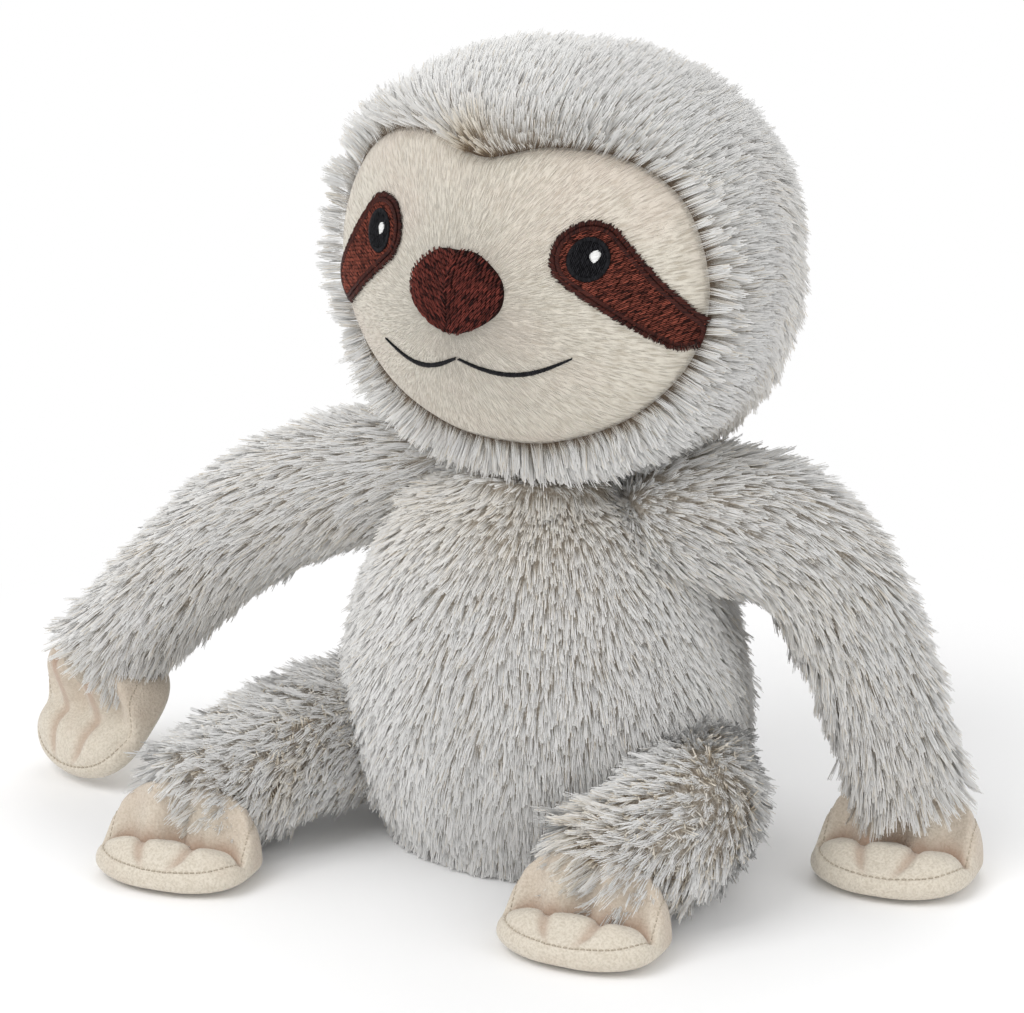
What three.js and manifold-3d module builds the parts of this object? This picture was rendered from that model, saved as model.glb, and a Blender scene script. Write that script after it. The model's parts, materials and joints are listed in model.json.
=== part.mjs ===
/*
 * A seated plush sloth, about 250 mm tall. Millimetres, +Z up. The toy faces -Y, so its own left
 * hand is on +X. The origin is on the floor, under the middle of the flat seat.
 *
 * Each limb's cover is a closed tube of long pile cloth round a stuffing core. The limbs are cut
 * back from the larger body that carries them, over the whole range of their joint.
 */
import * as THREE from "three";
import { mergeVertices } from "three/addons/utils/BufferGeometryUtils.js";
import Module from "manifold-3d";

const wasm = await Module();
wasm.setup();
const { Manifold, Mesh: ManifoldMesh } = wasm;

// Cloth thickness and the clearance between pieces that are sewn or laid together
const seamGap = 0.3;
const plushWall = 6;
const velourWall = 2.4;

// Torso, over the dense part of the pile
const torsoHeight = 122;
const torsoWidth = 131;
const torsoDepth = 113;
const torsoRingShares = [
  [0, 0.68], [0.09, 0.87], [0.25, 0.98], [0.41, 1], [0.57, 0.95], [0.74, 0.84], [0.9, 0.66], [1, 0.42],
];
const seatPanelShare = 0.84;
const bagHeight = 20;
const bagWidth = 72;
const bagDepth = 60;
const bagRingShares = [[0, 0.8], [0.3, 1], [0.7, 0.86], [1, 0.4]];

// Neck: a firm ball of stuffing in the open collar, which the head turns and nods on
const neckRadius = 20;
const neckClearance = 0.8;
const collarClearance = 2;
const sleeveClearance = 0.6;
const armholeClearance = 0.6;
const headClearance = 1.5;
const neckDepthBelowCollar = 10;
const neckSetBack = 6;
const turnRange = [-30, 30];
const nodRange = [-12, 15];

// Head cover and the recessed face inside its seam
const headWidth = 142;
const headDepth = 124;
const headHeight = 129;
const headSquareness = 2.3;
const headAboveNeck = 72.5;
const headBehindNeck = 4;
const faceWiderThanHead = 4;
const faceRadiusFront = 50;
const faceRadiusZ = 70;
const faceSetBack = 10;
const faceSeamInset = 4;
const faceOutlineHeight = 94;
const faceOutlineDrop = 3.5;
const faceOutlineShares = [
  [0, 0.9], [0.3, 0.99], [0.62, 0.94], [0.88, 0.67], [1, 0.15],
  [0.92, -0.35], [0.66, -0.74], [0.3, -0.96], [0, -1],
];
const snoutRise = 9;
const snoutSpread = 24;
const snoutDrop = 8;

// Embroidery and appliques on the face, as offsets from the middle of the face
const threadRise = 1;
const patchRise = 1;
const rightEyeX = 34;
const leftEyeX = 38;
const eyeZ = 12.6;
const patchOverEye = 0.6;
const patchInnerRadius = 10;
const patchOuterRadius = 6;
const patchRunX = 23;
const patchRunZ = -21.5;
const borderWidth = 2.4;
const pupilHalfWidth = 5.6;
const pupilHalfHeight = 6.3;
const glintRadius = 1.6;
const glintShiftX = 1.7;
const glintShiftZ = 0.9;
const noseWidth = 31.5;
const noseTop = 12.9;
const noseBottom = 11.8;
const noseShares = [[0, 1], [0.51, 0.92], [1, 0.33], [0.9, -0.44], [0, -1]];
const noseRise = 2.2;
const mouthReach = 33;
const mouthDrop = 19.8;
const mouthDip = 4.8;
const rightMouthEndRise = -0.8;
const leftMouthEndRise = 2.6;
const mouthLine = 1.2;

// Arms: shoulder places on the torso, and cover radii at the shoulder, on the way and at the wrist
const shoulderX = 46;
const shoulderY = 8;
const shoulderBelowCollar = 12;
const shoulderRadius = 21;
const armSwell = 1;
const wristRadius = 16;
const shoulderRange = [-30, 75];
const wristRange = [-15, 20];

// Legs: hip places in the torso's lower sides, and cover radii
const hipX = 50;
const hipY = -2;
const hipZ = 29;
const hipRadius = 20;
const legSwell = 2;
const ankleRadius = 17;
const hipRange = [-15, 30];
const ankleRange = [-10, 20];

// Where each wrist and ankle lies, how far its limb bows on the way, and how the hand or foot is
// turned and tipped, in degrees
const rightWristOut = 149;
const rightWristAhead = 43;
const rightWristUp = 37;
const rightArmBowUp = 19;
const rightHandYaw = -14;
const rightHandTipAngle = 48;
const leftWristOut = 110;
const leftWristBack = 37;
const leftWristUp = 26;
const leftArmBowOut = 7;
const leftArmBowBack = 0;
const leftArmBowUp = 28;
const leftHandYaw = 12;
const rightAnkleOut = 75;
const rightAnkleAhead = 81;
const leftAnkleOut = 60;
const leftAnkleAhead = 58;
const ankleUp = 21;
const legBowUp = 4;
const leftLegBowOut = 14;
const rightFootYaw = 12;
const leftFootYaw = 8;

// Hands and feet: a sole and an upper in short pile, sewn together round the rim
const mittWidth = 51;
const mittToe = 34;
const handHeel = 14;
const footHeel = 3;
const mittBackHeight = 28;
const mittToeHeight = 12;
const mittRimHeight = 5;
const mittSoleLift = 0.3;
const mittSquareness = 3.2;
const soleSquareness = 4;
const toeGroove = 2.4;
const toeGrooveShare = 0.34;
const toeGrooveSpreadShare = 0.1;
const toeThread = 1;
const mittStationShares = [0.03, 0.16, 0.4, 0.66, 0.86, 0.97];
const toeThreadShares = [0.66, 0.86, 0.97];
const upperAcrossShares = [1, 0.86, 0.62, 0.34, 0, -0.34, -0.62, -0.86, -1];
const soleAcrossShares = [-0.7, 0, 0.7];

// Facets
const bodyColumns = 20;
const headRows = 10;
const faceColumns = 32;
const faceRows = 8;
const innerFaceRows = 5;
const faceBackTurn = 135;
const limbColumns = 10;
const limbRows = 5;
const outlineSteps = 20;
const carrierSteps = 10;
const flexSteps = 3;
const headSteps = 5;
const limbLineShares = [0, 0.33, 0.67, 1];
const sleeveReachShares = [0.5, 0.75, 1];
const domeAngles = [60, 30];

// A cutting block's side, larger than the toy
const blockSize = 8 * torsoHeight;
const neckPivot = new THREE.Vector3(0, neckSetBack, torsoHeight - neckDepthBelowCollar);
const headCentre = new THREE.Vector3(0, neckSetBack + headBehindNeck, neckPivot.z + headAboveNeck);
const faceRadiusX = headWidth / 2 + faceWiderThanHead;
const faceOutlineWidth = headWidth - 2 * faceSeamInset;
const faceFrontY = headCentre.y - headDepth / 2 + faceSetBack;
const faceCentre = new THREE.Vector3(0, faceFrontY + faceRadiusFront, headCentre.z);
const xAxis = new THREE.Vector3(1, 0, 0);
const zAxis = new THREE.Vector3(0, 0, 1);

const cloth = {
  plush: { color: 0xb7afa3, roughness: 0.95, metalness: 0 },
  velour: { color: 0xdcd1bd, roughness: 0.9, metalness: 0 },
  fibre: { color: 0xf1efe9, roughness: 1, metalness: 0 },
  calico: { color: 0xc9bda3, roughness: 0.95, metalness: 0 },
  rust: { color: 0x6d3020, roughness: 0.8, metalness: 0 },
  umber: { color: 0x35150f, roughness: 0.55, metalness: 0 },
  maroon: { color: 0x55231c, roughness: 0.6, metalness: 0 },
  black: { color: 0x0d0c10, roughness: 0.45, metalness: 0 },
  white: { color: 0xf6f6f4, roughness: 0.5, metalness: 0 },
};

const sloth = new THREE.Group();

/* Adds one named piece, made of the largest body of a solid. */
function addPiece(name, solid, finish) {
  const bodies = solid.decompose();
  const largest = bodies.reduce((best, body) => (body.volume() > best.volume() ? body : best));
  const mesh = largest.getMesh();
  const geometry = new THREE.BufferGeometry();
  geometry.setAttribute("position", new THREE.BufferAttribute(mesh.vertProperties, 3));
  geometry.setIndex(new THREE.BufferAttribute(mesh.triVerts, 1));
  const piece = new THREE.Mesh(geometry, new THREE.MeshStandardMaterial(finish));
  piece.name = name;
  sloth.add(piece);
}

/* Turns a closed geometry into a solid. */
function solidOf(geometry) {
  geometry.deleteAttribute("normal");
  geometry.deleteAttribute("uv");
  const merged = mergeVertices(geometry);
  const vertProperties = Float32Array.from(merged.getAttribute("position").array);
  const triVerts = Uint32Array.from(merged.index.array);
  return new Manifold(new ManifoldMesh({ numProp: 3, vertProperties, triVerts }));
}

/* A closed skin over rings of points, with a point at each end. Rings run counterclockwise. */
function closedSkin(start, rings, end) {
  const columns = rings[0].length;
  const points = [start, ...rings.flat(), end];
  const last = points.length - 1;
  const at = (row, column) => 1 + row * columns + (column % columns);
  const faces = [];
  for (let column = 0; column < columns; column += 1) {
    faces.push(0, at(0, column + 1), at(0, column));
    for (let row = 0; row + 1 < rings.length; row += 1) {
      faces.push(at(row, column), at(row, column + 1), at(row + 1, column + 1));
      faces.push(at(row, column), at(row + 1, column + 1), at(row + 1, column));
    }
    faces.push(last, at(rings.length - 1, column), at(rings.length - 1, column + 1));
  }
  const geometry = new THREE.BufferGeometry().setFromPoints(points);
  geometry.setIndex(faces);
  return solidOf(geometry);
}

/* Points round a circle, made by a function of the angle. */
function ring(columns, pointAt) {
  return Array.from({ length: columns }, (_, column) => pointAt((2 * Math.PI * column) / columns));
}

/* An upright oval drum between two heights. */
function ovalDrum(width, depth, low, high) {
  const section = (z) => ring(bodyColumns, (angle) =>
    new THREE.Vector3((width / 2) * Math.cos(angle), (depth / 2) * Math.sin(angle), z));
  const middle = (z) => new THREE.Vector3(0, 0, z);
  return closedSkin(middle(low), [section(low), section(high)], middle(high));
}

/* A block that fills one side of the plane through the origin, with a gap to that plane. */
function sideBlock(axis, sign) {
  const centre = new THREE.Vector3();
  centre.setComponent(axis, sign * (blockSize / 2 + seamGap / 2));
  return solidOf(new THREE.BoxGeometry(blockSize, blockSize, blockSize)).translate(centre.toArray());
}

/* The ball of stuffing in the neck, or with a clearance the room round it. */
function neckBall(clearance) {
  const geometry = new THREE.SphereGeometry(neckRadius + clearance, bodyColumns, headRows);
  return solidOf(geometry).translate(neckPivot.toArray());
}

/* A solid turned about a line. */
function turned(solid, pivot, axis, degrees) {
  const matrix = new THREE.Matrix4().makeTranslation(pivot.x, pivot.y, pivot.z);
  matrix.multiply(new THREE.Matrix4().makeRotationAxis(axis, THREE.MathUtils.degToRad(degrees)));
  matrix.multiply(new THREE.Matrix4().makeTranslation(-pivot.x, -pivot.y, -pivot.z));
  return solid.transform(matrix.elements);
}

/* All the room that a carrying body takes, as seen from a piece that turns about a line. */
function sweptRoom(solid, pivot, axis, [lowest, highest], steps) {
  const turns = Array.from({ length: steps }, (_, step) =>
    lowest + ((highest - lowest) * step) / (steps - 1));
  return Manifold.union([solid, ...turns.map((degrees) => turned(solid, pivot, axis, -degrees))]);
}

/* The torso's form, drawn in or let out by an inset. round gives it one width all round. */
function torsoForm(inset, round = false) {
  const depth = round ? torsoWidth : torsoDepth;
  const base = Math.max(inset, 0);
  const heights = torsoHeight - base - inset;
  const section = ([heightShare, widthShare]) => ring(bodyColumns, (angle) => new THREE.Vector3(
    ((torsoWidth * widthShare) / 2 - inset) * Math.cos(angle),
    ((depth * widthShare) / 2 - inset) * Math.sin(angle),
    base + heights * heightShare,
  ));
  const top = new THREE.Vector3(0, 0, base + heights);
  return closedSkin(new THREE.Vector3(0, 0, base), torsoRingShares.map(section), top);
}

/* A signed power, which squares off a round section. */
function squared(value, power) {
  return Math.sign(value) * Math.abs(value) ** power;
}

/* The head cover's form: a ball a little squarer than round. */
function headForm(inset) {
  const power = 2 / headSquareness;
  const section = (row) => ring(bodyColumns, (angle) => {
    const rise = -Math.PI / 2 + (Math.PI * row) / headRows;
    const level = squared(Math.cos(rise), power);
    return new THREE.Vector3(
      (headWidth / 2 - inset) * level * squared(Math.cos(angle), power),
      (headDepth / 2 - inset) * level * squared(Math.sin(angle), power),
      (headHeight / 2 - inset) * squared(Math.sin(rise), power),
    ).add(headCentre);
  });
  const rows = Array.from({ length: headRows - 1 }, (_, row) => section(row + 1));
  const pole = (sign) => new THREE.Vector3(0, 0, sign * (headHeight / 2 - inset)).add(headCentre);
  return closedSkin(pole(-1), rows, pole(1));
}

/* How far the snout stands out of the face at a place on it. */
function snout(x, z) {
  return snoutRise * Math.exp(-(x ** 2 + (z + snoutDrop) ** 2) / (2 * snoutSpread ** 2));
}

/* The face's form: shallow in front, with the snout, and as deep as the whole head behind. */
function faceForm(inset, columns = faceColumns, frontRows = faceRows) {
  const place = (around, turn) => {
    const side = Math.sin(turn);
    const x = (faceRadiusX - inset) * side * Math.cos(around);
    const z = (faceRadiusZ - inset) * side * Math.sin(around);
    const ahead = Math.cos(turn);
    const y = ahead > 0 ? -(faceRadiusFront - inset) * ahead - snout(x, z) * ahead : -headDepth * ahead;
    return new THREE.Vector3(x, y, z).add(faceCentre);
  };
  const behind = THREE.MathUtils.degToRad(faceBackTurn);
  const front = Array.from({ length: frontRows }, (_, row) => (Math.PI / 2) * (1 - row / frontRows));
  const rows = [behind, ...front].map((turn) => ring(columns, (around) => place(around, turn)));
  return closedSkin(place(0, Math.PI), rows, place(0, 0));
}

/* A prism through the front of the face, from an outline in x and z about the face's middle. */
function facePrism(outline) {
  const shape = new THREE.Shape(outline);
  const geometry = new THREE.ExtrudeGeometry(shape, { depth: headDepth, bevelEnabled: false });
  geometry.rotateX(Math.PI / 2);
  return solidOf(geometry).translate(faceCentre.toArray());
}

/* A mirror-symmetric outline through the points of its right half. */
function mirroredOutline(half) {
  const inner = half.slice(1, -1).reverse().map(([x, y]) => [-x, y]);
  const points = [...half, ...inner].map(([x, y]) => new THREE.Vector3(x, y, 0));
  const curve = new THREE.CatmullRomCurve3(points, true);
  return curve.getPoints(2 * outlineSteps).slice(0, -1).map((point) => new THREE.Vector2(point.x, point.y));
}

/* The seam round the face, let out by a growth. */
function faceOutline(growth) {
  return mirroredOutline(faceOutlineShares.map(([across, up]) => [
    across * (faceOutlineWidth / 2 + growth),
    up * (faceOutlineHeight / 2 + growth) - faceOutlineDrop,
  ]));
}

/* A thin piece laid on the face inside an outline, lifted off it by a clearance. */
function onFace(outline, lift, thickness) {
  const skin = faceForm(-lift - thickness).subtract(faceForm(-lift));
  return skin.intersect(facePrism(outline)).intersect(facePrism(faceOutline(-borderWidth / 2)));
}

/* How far an eye is from the middle of the face. */
function eyeX(side) {
  return side < 0 ? rightEyeX : leftEyeX;
}

/* The outline of an eye patch: two circles of different size and their tangents. */
function patchOutline(side, growth) {
  const middleX = eyeX(side);
  const middleZ = eyeZ + patchOverEye;
  const run = Math.hypot(patchRunX, patchRunZ);
  const heading = Math.atan2(patchRunZ, patchRunX);
  const lean = Math.acos((patchInnerRadius - patchOuterRadius) / run);
  const arc = (x, z, radius, from, to) => Array.from({ length: outlineSteps / 2 + 1 }, (_, step) => {
    const angle = heading + from + ((to - from) * step) / (outlineSteps / 2);
    return new THREE.Vector2(side * (x + radius * Math.cos(angle)), z + radius * Math.sin(angle));
  });
  return [
    ...arc(middleX, middleZ, patchInnerRadius + growth, lean, 2 * Math.PI - lean),
    ...arc(middleX + patchRunX, middleZ + patchRunZ, patchOuterRadius + growth, -lean, lean),
  ];
}

/* An oval outline on the face. */
function dotOutline(x, z, halfWidth, halfHeight) {
  return ring(outlineSteps, (angle) =>
    new THREE.Vector2(x + halfWidth * Math.cos(angle), z + halfHeight * Math.sin(angle)));
}

/* One half of the mouth line: a smile that dips between the middle and its end. */
function mouthOutline(side) {
  const steps = outlineSteps / 2;
  const endRise = side < 0 ? rightMouthEndRise : leftMouthEndRise;
  const heightAt = (share) => -mouthDrop - mouthDip * Math.sin(Math.PI * share) + endRise * share;
  const edge = (sign) => Array.from({ length: steps + 1 }, (_, step) => {
    const share = step / steps;
    const half = (mouthLine / 2) * (1 - share / 2);
    return new THREE.Vector2(side * (mouthLine / 2 + mouthReach * share), heightAt(share) + sign * half);
  });
  return [...edge(-1), ...edge(1).reverse()];
}

/* A limb cover's radius at a share of its length. */
function limbRadius(limb, share) {
  const taper = THREE.MathUtils.lerp(limb.rootRadius, limb.endRadius, share);
  return taper + limb.swell * Math.sin(Math.PI * share);
}

/* A limb's form along its bowed line: its own radius at each end, a swell between, domes on both ends. */
function limbForm(limb, inset) {
  const along = new THREE.CatmullRomCurve3(limbLineShares.map(limb.lineAt));
  const frames = along.computeFrenetFrames(limbRows, false);
  const radiusAt = (share) => limbRadius(limb, share) - inset;
  const section = (row, slide, radius) => ring(limbColumns, (angle) => along.getPointAt(row / limbRows)
    .addScaledVector(frames.normals[row], radius * Math.cos(angle))
    .addScaledVector(frames.binormals[row], radius * Math.sin(angle))
    .addScaledVector(frames.tangents[row], slide));
  const dome = (row, sign) => domeAngles.map((rise) => {
    const angle = THREE.MathUtils.degToRad(rise);
    const radius = radiusAt(row / limbRows);
    return section(row, sign * radius * Math.sin(angle), radius * Math.cos(angle));
  });
  const tip = (row, sign) => along.getPointAt(row / limbRows)
    .addScaledVector(frames.tangents[row], sign * radiusAt(row / limbRows));
  const rows = Array.from({ length: limbRows + 1 }, (_, row) => section(row, 0, radiusAt(row / limbRows)));
  return closedSkin(tip(0, -1), [...dome(0, -1), ...rows, ...dome(limbRows, 1).reverse()], tip(limbRows, 1));
}

/* One place across the top of a hand or foot, in its own frame. */
function mittTop(limb, share, across, inset) {
  const round = Math.sqrt(1 - Math.abs(2 * share - 1) ** mittSquareness);
  const rim = limb.sole + mittRimHeight;
  const back = THREE.MathUtils.lerp(mittBackHeight, mittToeHeight, share);
  const arch = Math.sqrt(1 - Math.abs(across) ** mittSquareness);
  const groove = Math.exp(-(((Math.abs(across) - toeGrooveShare) / toeGrooveSpreadShare) ** 2));
  const rise = (back - mittRimHeight - inset) * round * arch - toeGroove * share * round * groove;
  const y = limb.heel - inset - (limb.heel + mittToe - 2 * inset) * share;
  return new THREE.Vector3(across * (mittWidth / 2 - inset) * round, y, rim + rise);
}

/* One place across the sole of a hand or foot, in its own frame. */
function mittSole(limb, share, across, inset) {
  const place = mittTop(limb, share, across, inset);
  const round = Math.sqrt(1 - Math.abs(2 * share - 1) ** mittSquareness);
  const arch = Math.sqrt((1 - across ** soleSquareness) * round);
  place.z = limb.sole + mittRimHeight - (mittRimHeight - inset) * arch;
  return place;
}

/* The room that a sleeve's end takes in the frame of a hand or foot that flexes on it. */
function sleeveRoom(limb, range) {
  const flare = Math.tan(THREE.MathUtils.degToRad(Math.max(...range.map(Math.abs))));
  const around = 1 / Math.cos(Math.PI / limbColumns);
  const heading = limb.lineAt(1).sub(limb.lineAt(1 - 1 / limbRows)).normalize();
  const level = new THREE.Vector3().crossVectors(heading, limb.flex).normalize();
  const across = new THREE.Vector3().crossVectors(level, heading);
  const section = (centre, half, deep) => ring(limbColumns, (angle) => centre.clone()
    .addScaledVector(across, (half * around + sleeveClearance) * Math.cos(angle))
    .addScaledVector(level, (deep * around + sleeveClearance) * Math.sin(angle)));
  const tube = sleeveReachShares.map((share) => {
    const back = limb.lineAt(share).distanceTo(limb.end);
    const radius = limbRadius(limb, share);
    return section(limb.lineAt(share), radius, radius + back * flare);
  });
  const dome = domeAngles.toReversed().map((rise) => {
    const angle = THREE.MathUtils.degToRad(rise);
    const radius = limb.endRadius * Math.cos(angle);
    const slide = (limb.endRadius * around + sleeveClearance) * Math.sin(angle);
    return section(limb.end.clone().addScaledVector(heading, slide), radius, radius);
  });
  const tip = limb.end.clone().addScaledVector(heading, limb.endRadius * around + sleeveClearance);
  return closedSkin(limb.lineAt(sleeveReachShares[0]), [...tube, ...dome], tip);
}

/* A hand's or foot's form: flat below, arched above, with three toes in front. */
function mittForm(limb, inset) {
  const section = (share) => [
    ...upperAcrossShares.map((across) => mittTop(limb, share, across, inset)),
    ...soleAcrossShares.map((across) => mittSole(limb, share, across, inset)),
  ];
  const heel = new THREE.Vector3(0, limb.heel - inset, limb.sole + mittRimHeight);
  const toe = new THREE.Vector3(0, inset - mittToe, limb.sole + mittRimHeight);
  return closedSkin(heel, mittStationShares.map(section), toe).transform(limb.mittMatrix.elements);
}

/* The thread that draws in the groove between two toes. */
function toeThreadForm(limb, across) {
  const radius = toeThread / 2;
  const centre = (share) => {
    const place = mittTop(limb, share, across, 0);
    place.z += radius + seamGap;
    return place;
  };
  const section = (share) => ring(limbColumns / 2, (angle) =>
    centre(share).add(new THREE.Vector3(radius * Math.cos(angle), 0, radius * Math.sin(angle))));
  const rings = toeThreadShares.map(section);
  const thread = closedSkin(centre(toeThreadShares[0]), rings, centre(toeThreadShares.at(-1)));
  return thread.transform(limb.mittMatrix.elements);
}

/* Collects what one limb is built from: its line, radii, joint axis and the frame of its end. */
function defineLimb({ side, root, end, bow, radii, heel, yaw, tip }) {
  const turn = THREE.MathUtils.degToRad(yaw);
  const lean = THREE.MathUtils.degToRad(tip);
  const [rootRadius, swell, endRadius] = radii;
  return {
    side,
    root,
    end,
    heel,
    rootRadius,
    swell,
    endRadius,
    lineAt: (share) => root.clone().lerp(end, share).addScaledVector(bow, Math.sin(Math.PI * share)),
    flex: new THREE.Vector3(-Math.cos(turn), -Math.sin(turn), 0),
    sole: -(end.z - mittSoleLift - mittToe * Math.sin(lean)) / Math.cos(lean),
    mittMatrix: new THREE.Matrix4().makeTranslation(end.x, end.y, end.z)
      .multiply(new THREE.Matrix4().makeRotationZ(turn))
      .multiply(new THREE.Matrix4().makeRotationX(lean)),
  };
}

/* The three pieces of the torso's cover, its stuffing and the bag of grains it sits on. */
function addTorso() {
  const collar = neckBall(neckClearance);
  const shell = torsoForm(0).subtract(torsoForm(plushWall)).subtract(collar);
  const seatWidth = torsoWidth * torsoRingShares[0][1] * seatPanelShare;
  const seatDepth = torsoDepth * torsoRingShares[0][1] * seatPanelShare;
  const seatHole = ovalDrum(seatWidth + 2 * seamGap, seatDepth + 2 * seamGap, -plushWall, 2 * plushWall);
  const sides = shell.subtract(seatHole);
  addPiece("torso_front_panel", sides.intersect(sideBlock(1, -1)), cloth.plush);
  addPiece("torso_back_panel", sides.intersect(sideBlock(1, 1)), cloth.plush);
  addPiece("seat_panel", ovalDrum(seatWidth, seatDepth, 0, plushWall), cloth.plush);
  const room = plushWall + seamGap;
  const core = torsoForm(room).subtract(collar);
  addPiece("torso_stuffing", core.subtract(grainBag(seamGap)), cloth.fibre);
  addPiece("grain_bag", grainBag(0), cloth.calico);
}

/* A low oval bag lying on the seat panel. */
function grainBag(growth) {
  const base = plushWall + seamGap - 2 * growth;
  const rise = bagHeight + 3 * growth;
  const section = ([heightShare, widthShare]) => ring(limbColumns, (angle) => new THREE.Vector3(
    ((bagWidth * widthShare) / 2 + growth) * Math.cos(angle),
    ((bagDepth * widthShare) / 2 + growth) * Math.sin(angle),
    base + rise * heightShare,
  ));
  return closedSkin(
    new THREE.Vector3(0, 0, base),
    bagRingShares.map(section),
    new THREE.Vector3(0, 0, base + rise),
  );
}

/* The head's cover in two halves, the face set into it, and the stuffing. */
function addHead() {
  addPiece("neck_stuffing", neckBall(0), cloth.fibre);
  const shoulders = sweptRoom(torsoForm(-collarClearance, true), neckPivot, xAxis, nodRange, flexSteps);
  const below = shoulders.add(neckBall(neckClearance));
  const faceHole = facePrism(faceOutline(seamGap));
  const cover = headForm(0).subtract(headForm(plushWall)).subtract(faceHole).subtract(below);
  addPiece("head_right_panel", cover.intersect(sideBlock(0, -1)), cloth.plush);
  addPiece("head_left_panel", cover.intersect(sideBlock(0, 1)), cloth.plush);
  const faceBack = faceForm(velourWall, bodyColumns, innerFaceRows);
  const face = faceForm(0).subtract(faceBack).intersect(facePrism(faceOutline(0)));
  addPiece("face_panel", face, cloth.velour);
  const behindFace = faceForm(velourWall + seamGap, bodyColumns, innerFaceRows);
  const core = headForm(plushWall + seamGap).intersect(behindFace);
  addPiece("head_stuffing", core.subtract(below), cloth.fibre);
}

/* The eye patch on one side, with its border, pupil and glint in layers. */
function addEye(name, side) {
  const field = patchOutline(side, -borderWidth - seamGap);
  addPiece(`eye_patch_${name}`, onFace(field, seamGap, patchRise), cloth.rust);
  const rim = onFace(patchOutline(side, 0), seamGap, patchRise + threadRise / 2);
  addPiece(`eye_border_${name}`, rim.subtract(facePrism(patchOutline(side, -borderWidth))), cloth.umber);
  const pupilLift = 2 * seamGap + patchRise;
  const middleX = side * eyeX(side);
  const pupil = dotOutline(middleX, eyeZ, pupilHalfWidth, pupilHalfHeight);
  addPiece(`pupil_${name}`, onFace(pupil, pupilLift, threadRise), cloth.black);
  const glint = dotOutline(middleX + glintShiftX, eyeZ + glintShiftZ, glintRadius, glintRadius);
  addPiece(`eye_glint_${name}`, onFace(glint, pupilLift + threadRise + seamGap, threadRise / 2), cloth.white);
  addPiece(`mouth_stitch_${name}`, onFace(mouthOutline(side), seamGap, threadRise / 2), cloth.black);
}

/* The satin stitched nose. */
function addNose() {
  const middle = (noseTop - noseBottom) / 2;
  const outline = mirroredOutline(noseShares.map(([across, up]) => [
    (across * noseWidth) / 2,
    middle + (up * (noseTop + noseBottom)) / 2,
  ]));
  addPiece("nose", onFace(outline, seamGap, noseRise), cloth.maroon);
}

/* One limb and its hand or foot. carrier is the torso as the limb's joint sweeps it. */
function addLimb(limb, names, carrier, flexRange) {
  const cover = limbForm(limb, 0).subtract(limbForm(limb, plushWall)).subtract(carrier);
  addPiece(names.cover, cover, cloth.plush);
  addPiece(names.core, limbForm(limb, plushWall + seamGap).subtract(carrier), cloth.fibre);
  const sleeve = sleeveRoom(limb, flexRange);
  const mitt = mittForm(limb, 0).subtract(mittForm(limb, velourWall)).subtract(sleeve);
  const rim = limb.sole + mittRimHeight;
  const above = rimBlock(limb, rim, 1);
  const under = rimBlock(limb, rim, -1);
  addPiece(names.upper, mitt.intersect(above), cloth.velour);
  addPiece(names.sole, mitt.intersect(under), cloth.velour);
  addPiece(names.filling, mittForm(limb, velourWall + seamGap).subtract(sleeve), cloth.fibre);
  addPiece(`${names.thread}_inner`, toeThreadForm(limb, -limb.side * toeGrooveShare), cloth.velour);
  addPiece(`${names.thread}_outer`, toeThreadForm(limb, limb.side * toeGrooveShare), cloth.velour);
}

/* A block above or below the rim seam of a hand or foot. */
function rimBlock(limb, rim, sign) {
  const block = sideBlock(2, sign).translate([0, 0, rim]);
  return block.transform(limb.mittMatrix.elements);
}

const shoulderZ = torsoHeight - shoulderBelowCollar;
const armRadii = [shoulderRadius, armSwell, wristRadius];
const legRadii = [hipRadius, legSwell, ankleRadius];
const rightArm = defineLimb({
  side: -1,
  root: new THREE.Vector3(-shoulderX, shoulderY, shoulderZ),
  end: new THREE.Vector3(-rightWristOut, -rightWristAhead, rightWristUp),
  bow: new THREE.Vector3(0, 0, rightArmBowUp),
  radii: armRadii,
  heel: handHeel,
  yaw: rightHandYaw,
  tip: rightHandTipAngle,
});
const leftArm = defineLimb({
  side: 1,
  root: new THREE.Vector3(shoulderX, shoulderY, shoulderZ),
  end: new THREE.Vector3(leftWristOut, leftWristBack, leftWristUp),
  bow: new THREE.Vector3(leftArmBowOut, leftArmBowBack, leftArmBowUp),
  radii: armRadii,
  heel: handHeel,
  yaw: leftHandYaw,
  tip: 0,
});
const rightLeg = defineLimb({
  side: -1,
  root: new THREE.Vector3(-hipX, hipY, hipZ),
  end: new THREE.Vector3(-rightAnkleOut, -rightAnkleAhead, ankleUp),
  bow: new THREE.Vector3(0, 0, legBowUp),
  radii: legRadii,
  heel: footHeel,
  yaw: rightFootYaw,
  tip: 0,
});
const leftLeg = defineLimb({
  side: 1,
  root: new THREE.Vector3(hipX, hipY, hipZ),
  end: new THREE.Vector3(leftAnkleOut, -leftAnkleAhead, ankleUp),
  bow: new THREE.Vector3(leftLegBowOut, 0, legBowUp),
  radii: legRadii,
  heel: footHeel,
  yaw: leftFootYaw,
  tip: 0,
});

/* Names for the pieces of an arm with its hand. */
function armNames(side) {
  return {
    cover: `arm_sleeve_${side}`,
    core: `arm_stuffing_${side}`,
    upper: `hand_upper_${side}`,
    sole: `hand_palm_${side}`,
    filling: `hand_stuffing_${side}`,
    thread: `finger_thread_${side}`,
  };
}

/* Names for the pieces of a leg with its foot. */
function legNames(side) {
  return {
    cover: `leg_sleeve_${side}`,
    core: `leg_stuffing_${side}`,
    upper: `foot_upper_${side}`,
    sole: `foot_sole_${side}`,
    filling: `foot_stuffing_${side}`,
    thread: `toe_thread_${side}`,
  };
}

/* The torso as a limb that swings forward and back past it needs it to be left free. */
function torsoRoomFor(limb, range) {
  return sweptRoom(torsoForm(-armholeClearance), limb.root, xAxis.clone().negate(), range, carrierSteps);
}

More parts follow.
